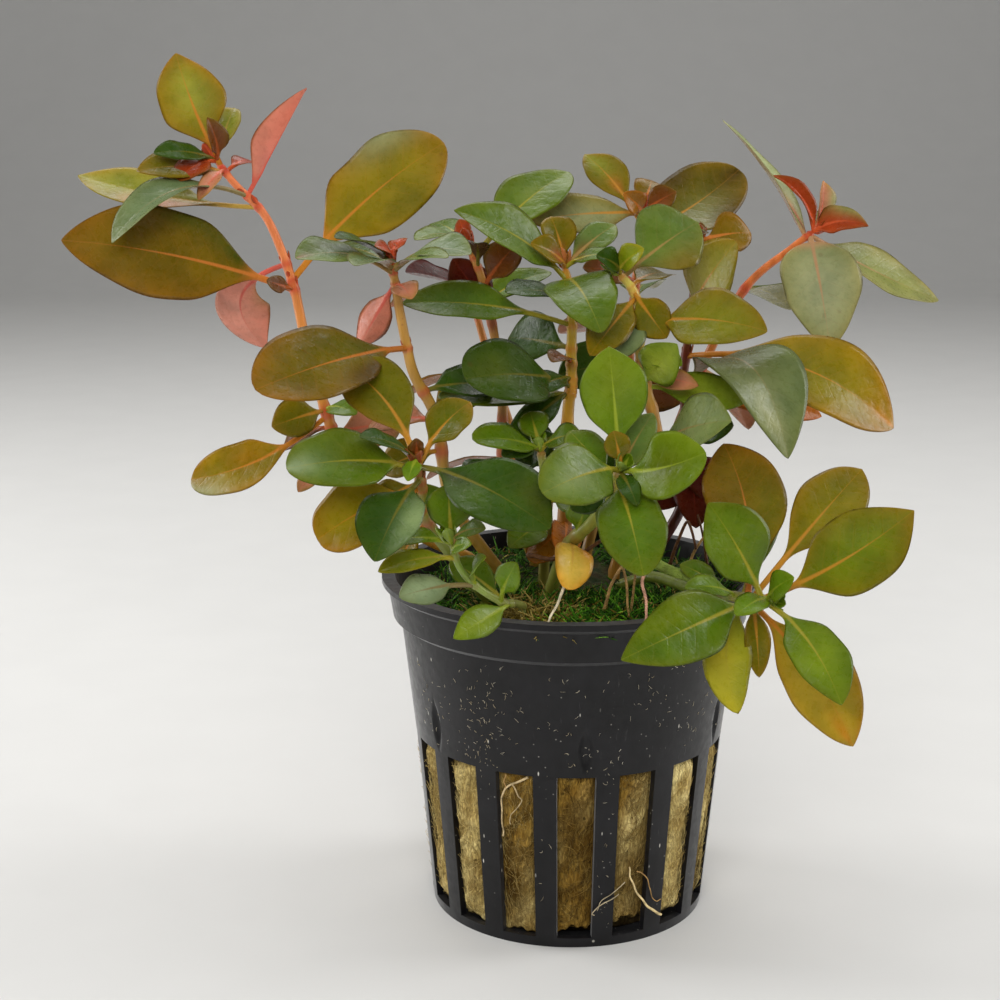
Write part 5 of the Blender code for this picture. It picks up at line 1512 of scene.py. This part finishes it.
make_shoot("rim_left", (-7, -19), (1.2, 0.8), "fresh", [
    (150, 156, 76), (128, 150, 64), (140, 140, 70),
], [
    (-8, -22, 51.5), (-10, -24.5, 52.5), (-13.5, -27, 55.5), (-15.5, -29, 58.5), (-16.5, -30, 62),
], [], [
    # The pale grey-green patch on this leaf is a painted sheen.
    leaf(3, (-23.3, -33, 55.6), 5, (0, -0.7, 0.7), "slate", 4,
         patches=[(0, 0.6, 0.9, (148, 164, 124))]),
    leaf(3, (-12, -33, 61), 3, (0, -0.7, 0.7), "fresh"),
    leaf(5, (-25, -26, 61), 4, (0, -0.5, 1), "fresh"),
    leaf(4.4, (-26, -33, 59), 4.5, (0, -0.5, 1), "citron"),
    leaf(5, (-17, -28, 69.5), 6, (0, -0.95, 0.3), "green"),
    leaf(5, (-12, -34, 65), 3.4, (0, -0.6, 0.8), "grey"),
    leaf(4.6, (-13.8, -36, 63.5), 2.6, (0.2, -0.8, 0.4), "fresh"),
    leaf(2, (-8, -30, 59.5), 4, (0, -0.8, 0.6), "fresh", 3),
    leaf(1.4, (-16.3, -33, 50), 4.4, (0.2, -0.85, 0.5), "fresh", 2, point=0.9,
         patches=[(0, 0.6, 0.9, LEMON)]),
    leaf(1.8, (-17, -20, 57), 5, (0, -0.7, 0.7), "green"),
])

make_shoot("inner", (-4, -6), (1.6, 1.2), "fresh", [
    (130, 126, 52), (132, 138, 56), (150, 110, 52),
], [
    (-3.5, -8, 62.5), (-4.5, -9, 70),
], [], [
    leaf(2, (-14, -16, 73), 5.5, (0, -0.6, 0.8), "fresh", 1, point=0.5),
    leaf(2, (1, -13, 73), 4.5, (0, -0.6, 0.8), "green"),
    leaf(2, (-6, -6, 75), 4.5, (0, -0.9, 0.3), "green"),
    leaf(2, (-10, -13, 70), 4, (0, -0.6, 0.8), "dark"),
    leaf(1, (4, -14, 62), 5, (0, -0.6, 0.8), "green"),
    leaf(1.2, (-12, -14, 62.5), 6, (0, -0.8, 0.6), "dark"),
    leaf(1.4, (3, -15, 68), 5.5, (0, -0.8, 0.6), "dark"),
    leaf(0.7, (-9, -17, 58), 5, (0, -0.8, 0.6), "green"),
])

make_shoot("back", (-4, 17), (1.7, 1.1), "red", [
    (150, 112, 44), (196, 128, 62), (186, 78, 46),
], [
    (-7, 22, 62), (-11, 27, 74), (-14, 30, 84),
], [], [
    leaf(3, (-28, 36, 84), 8, (-0.3, 0.4, 0.9), "olive", arch=2),
    leaf(3, (-12, 45, 88), 8, (0, 0.4, 0.9), "green", arch=2),
    leaf(3, (-2, 33, 90), 6.5, (0, -0.4, 0.9), "green", arch=1.5),
    leaf(3, (-17, 26, 92), 5.5, (0, -0.8, 0.6), "olive"),
    leaf(2, (-26, 27, 70), 8, (-0.2, 0.3, 0.9), "gold", arch=2),
    leaf(2, (-6, 43, 70), 8, (0.1, 0.5, 0.8), "green", arch=2),
    leaf(1, (-22, 30, 57), 7, (-0.2, 0.3, 0.9), "olive", arch=1.5),
    leaf(1, (5, 36, 60), 7, (0.2, 0.4, 0.9), "green", arch=1.5),
])


# The studio, which isn't part of the plant: a pale floor that curves up into a backdrop, a
# soft light over and behind the plant, one at each side, two that only fill, and a camera at
# the height and the tilt of the photograph's.
FLOOR_HALF_WIDTH = 2000.0
FLOOR_FRONT = -1500.0
BACKDROP_DISTANCE = 700.0
BACKDROP_BEND = 400.0
BACKDROP_TOP = 2500.0
FLOOR_TINT = ink(212, 211, 208)
WORLD_STRENGTH = 0.22
CAMERA_PLACE = (-10.2, -276.0, 126.0)
CAMERA_TILT = 13.3  # degrees down from level
CAMERA_LENS = 70.2
CAMERA_SENSOR = 36.0
LIGHT_TARGET = (0.0, 0.0, 60.0)

# Each light is its place, its width, its height, its power in watts, and whether it is
# mirrored in glossy surfaces.
LIGHTS = {
    "light_over": ((0.0, 340.0, 470.0), 460.0, 240.0, 0.85, True),
    "light_sky": ((0.0, -60.0, 600.0), 700.0, 500.0, 1.3, False),
    "light_left": ((-470.0, 140.0, 230.0), 200.0, 500.0, 1.7, True),
    "light_right": ((480.0, 80.0, 230.0), 180.0, 500.0, 1.5, True),
    "light_front": ((-60.0, -560.0, 380.0), 400.0, 260.0, 2.7, False),
}


def make_backdrop():
    """The floor and the wall behind it as one sheet, joined by a quarter of a circle."""
    turn = np.linspace(0, np.pi / 2, 16)
    y = np.concatenate([[FLOOR_FRONT], BACKDROP_DISTANCE + BACKDROP_BEND * np.sin(turn)])
    y = np.concatenate([y, [y[-1]]])
    z = np.concatenate([[0.0], BACKDROP_BEND * (1 - np.cos(turn)), [BACKDROP_TOP]])
    left = np.column_stack([np.full(len(y), -FLOOR_HALF_WIDTH), y, z])
    right = left * (-1, 1, 1)
    points = np.vstack([left, right]) * MM
    k = np.arange(len(y) - 1)
    faces = np.column_stack([k, k + len(y), k + len(y) + 1, k + 1])
    mesh = bpy.data.meshes.new("backdrop")
    mesh.from_pydata(points.tolist(), [], faces.tolist())
    mesh.shade_smooth()
    material, tree, shader, place = start_material("backdrop_paper")
    cloud = mottle(tree, place, 12.0)["Fine"]
    colour = blend_colour(tree, cloud, (*FLOOR_TINT, 1), (*(FLOOR_TINT * 0.98), 1))
    plug(tree, shader, [("Base Color", colour), ("Roughness", 0.8)])
    mesh.materials.append(material)
    backdrop = add_object("backdrop", mesh)


def make_light(name, place, width, height, power, mirrored):
    """A rectangular soft light at a place, turned to the middle of the plant."""
    light = bpy.data.lights.new(name, "AREA")
    light.shape = "RECTANGLE"
    light.size = width * MM
    light.size_y = height * MM
    light.energy = power
    lamp = add_object(name, light)
    lamp.location = Vector(place) * MM
    lamp.visible_glossy = mirrored
    way = Vector(LIGHT_TARGET) - Vector(place)
    lamp.rotation_euler = way.to_track_quat("-Z", "Y").to_euler()


def make_camera():
    """The camera, which looks along +Y and a little down."""
    camera = bpy.data.cameras.new("camera")
    camera.lens = CAMERA_LENS
    camera.sensor_width = CAMERA_SENSOR
    camera.clip_start = 0.01
    eye = add_object("camera", camera)
    eye.location = Vector(CAMERA_PLACE) * MM
    eye.rotation_euler = (np.radians(90 - CAMERA_TILT), 0, 0)
    bpy.context.scene.camera = eye


make_backdrop()
for light_name, light_parts in LIGHTS.items():
    make_light(light_name, *light_parts)
make_camera()
world = bpy.data.worlds.new("studio")
world.use_nodes = True
world.node_tree.nodes["Background"].inputs["Color"].default_value = (1.0, 1.0, 1.0, 1.0)
world.node_tree.nodes["Background"].inputs["Strength"].default_value = WORLD_STRENGTH
world.cycles_visibility.glossy = False
bpy.context.scene.world = world
bpy.context.scene.view_settings.view_transform = "Standard"
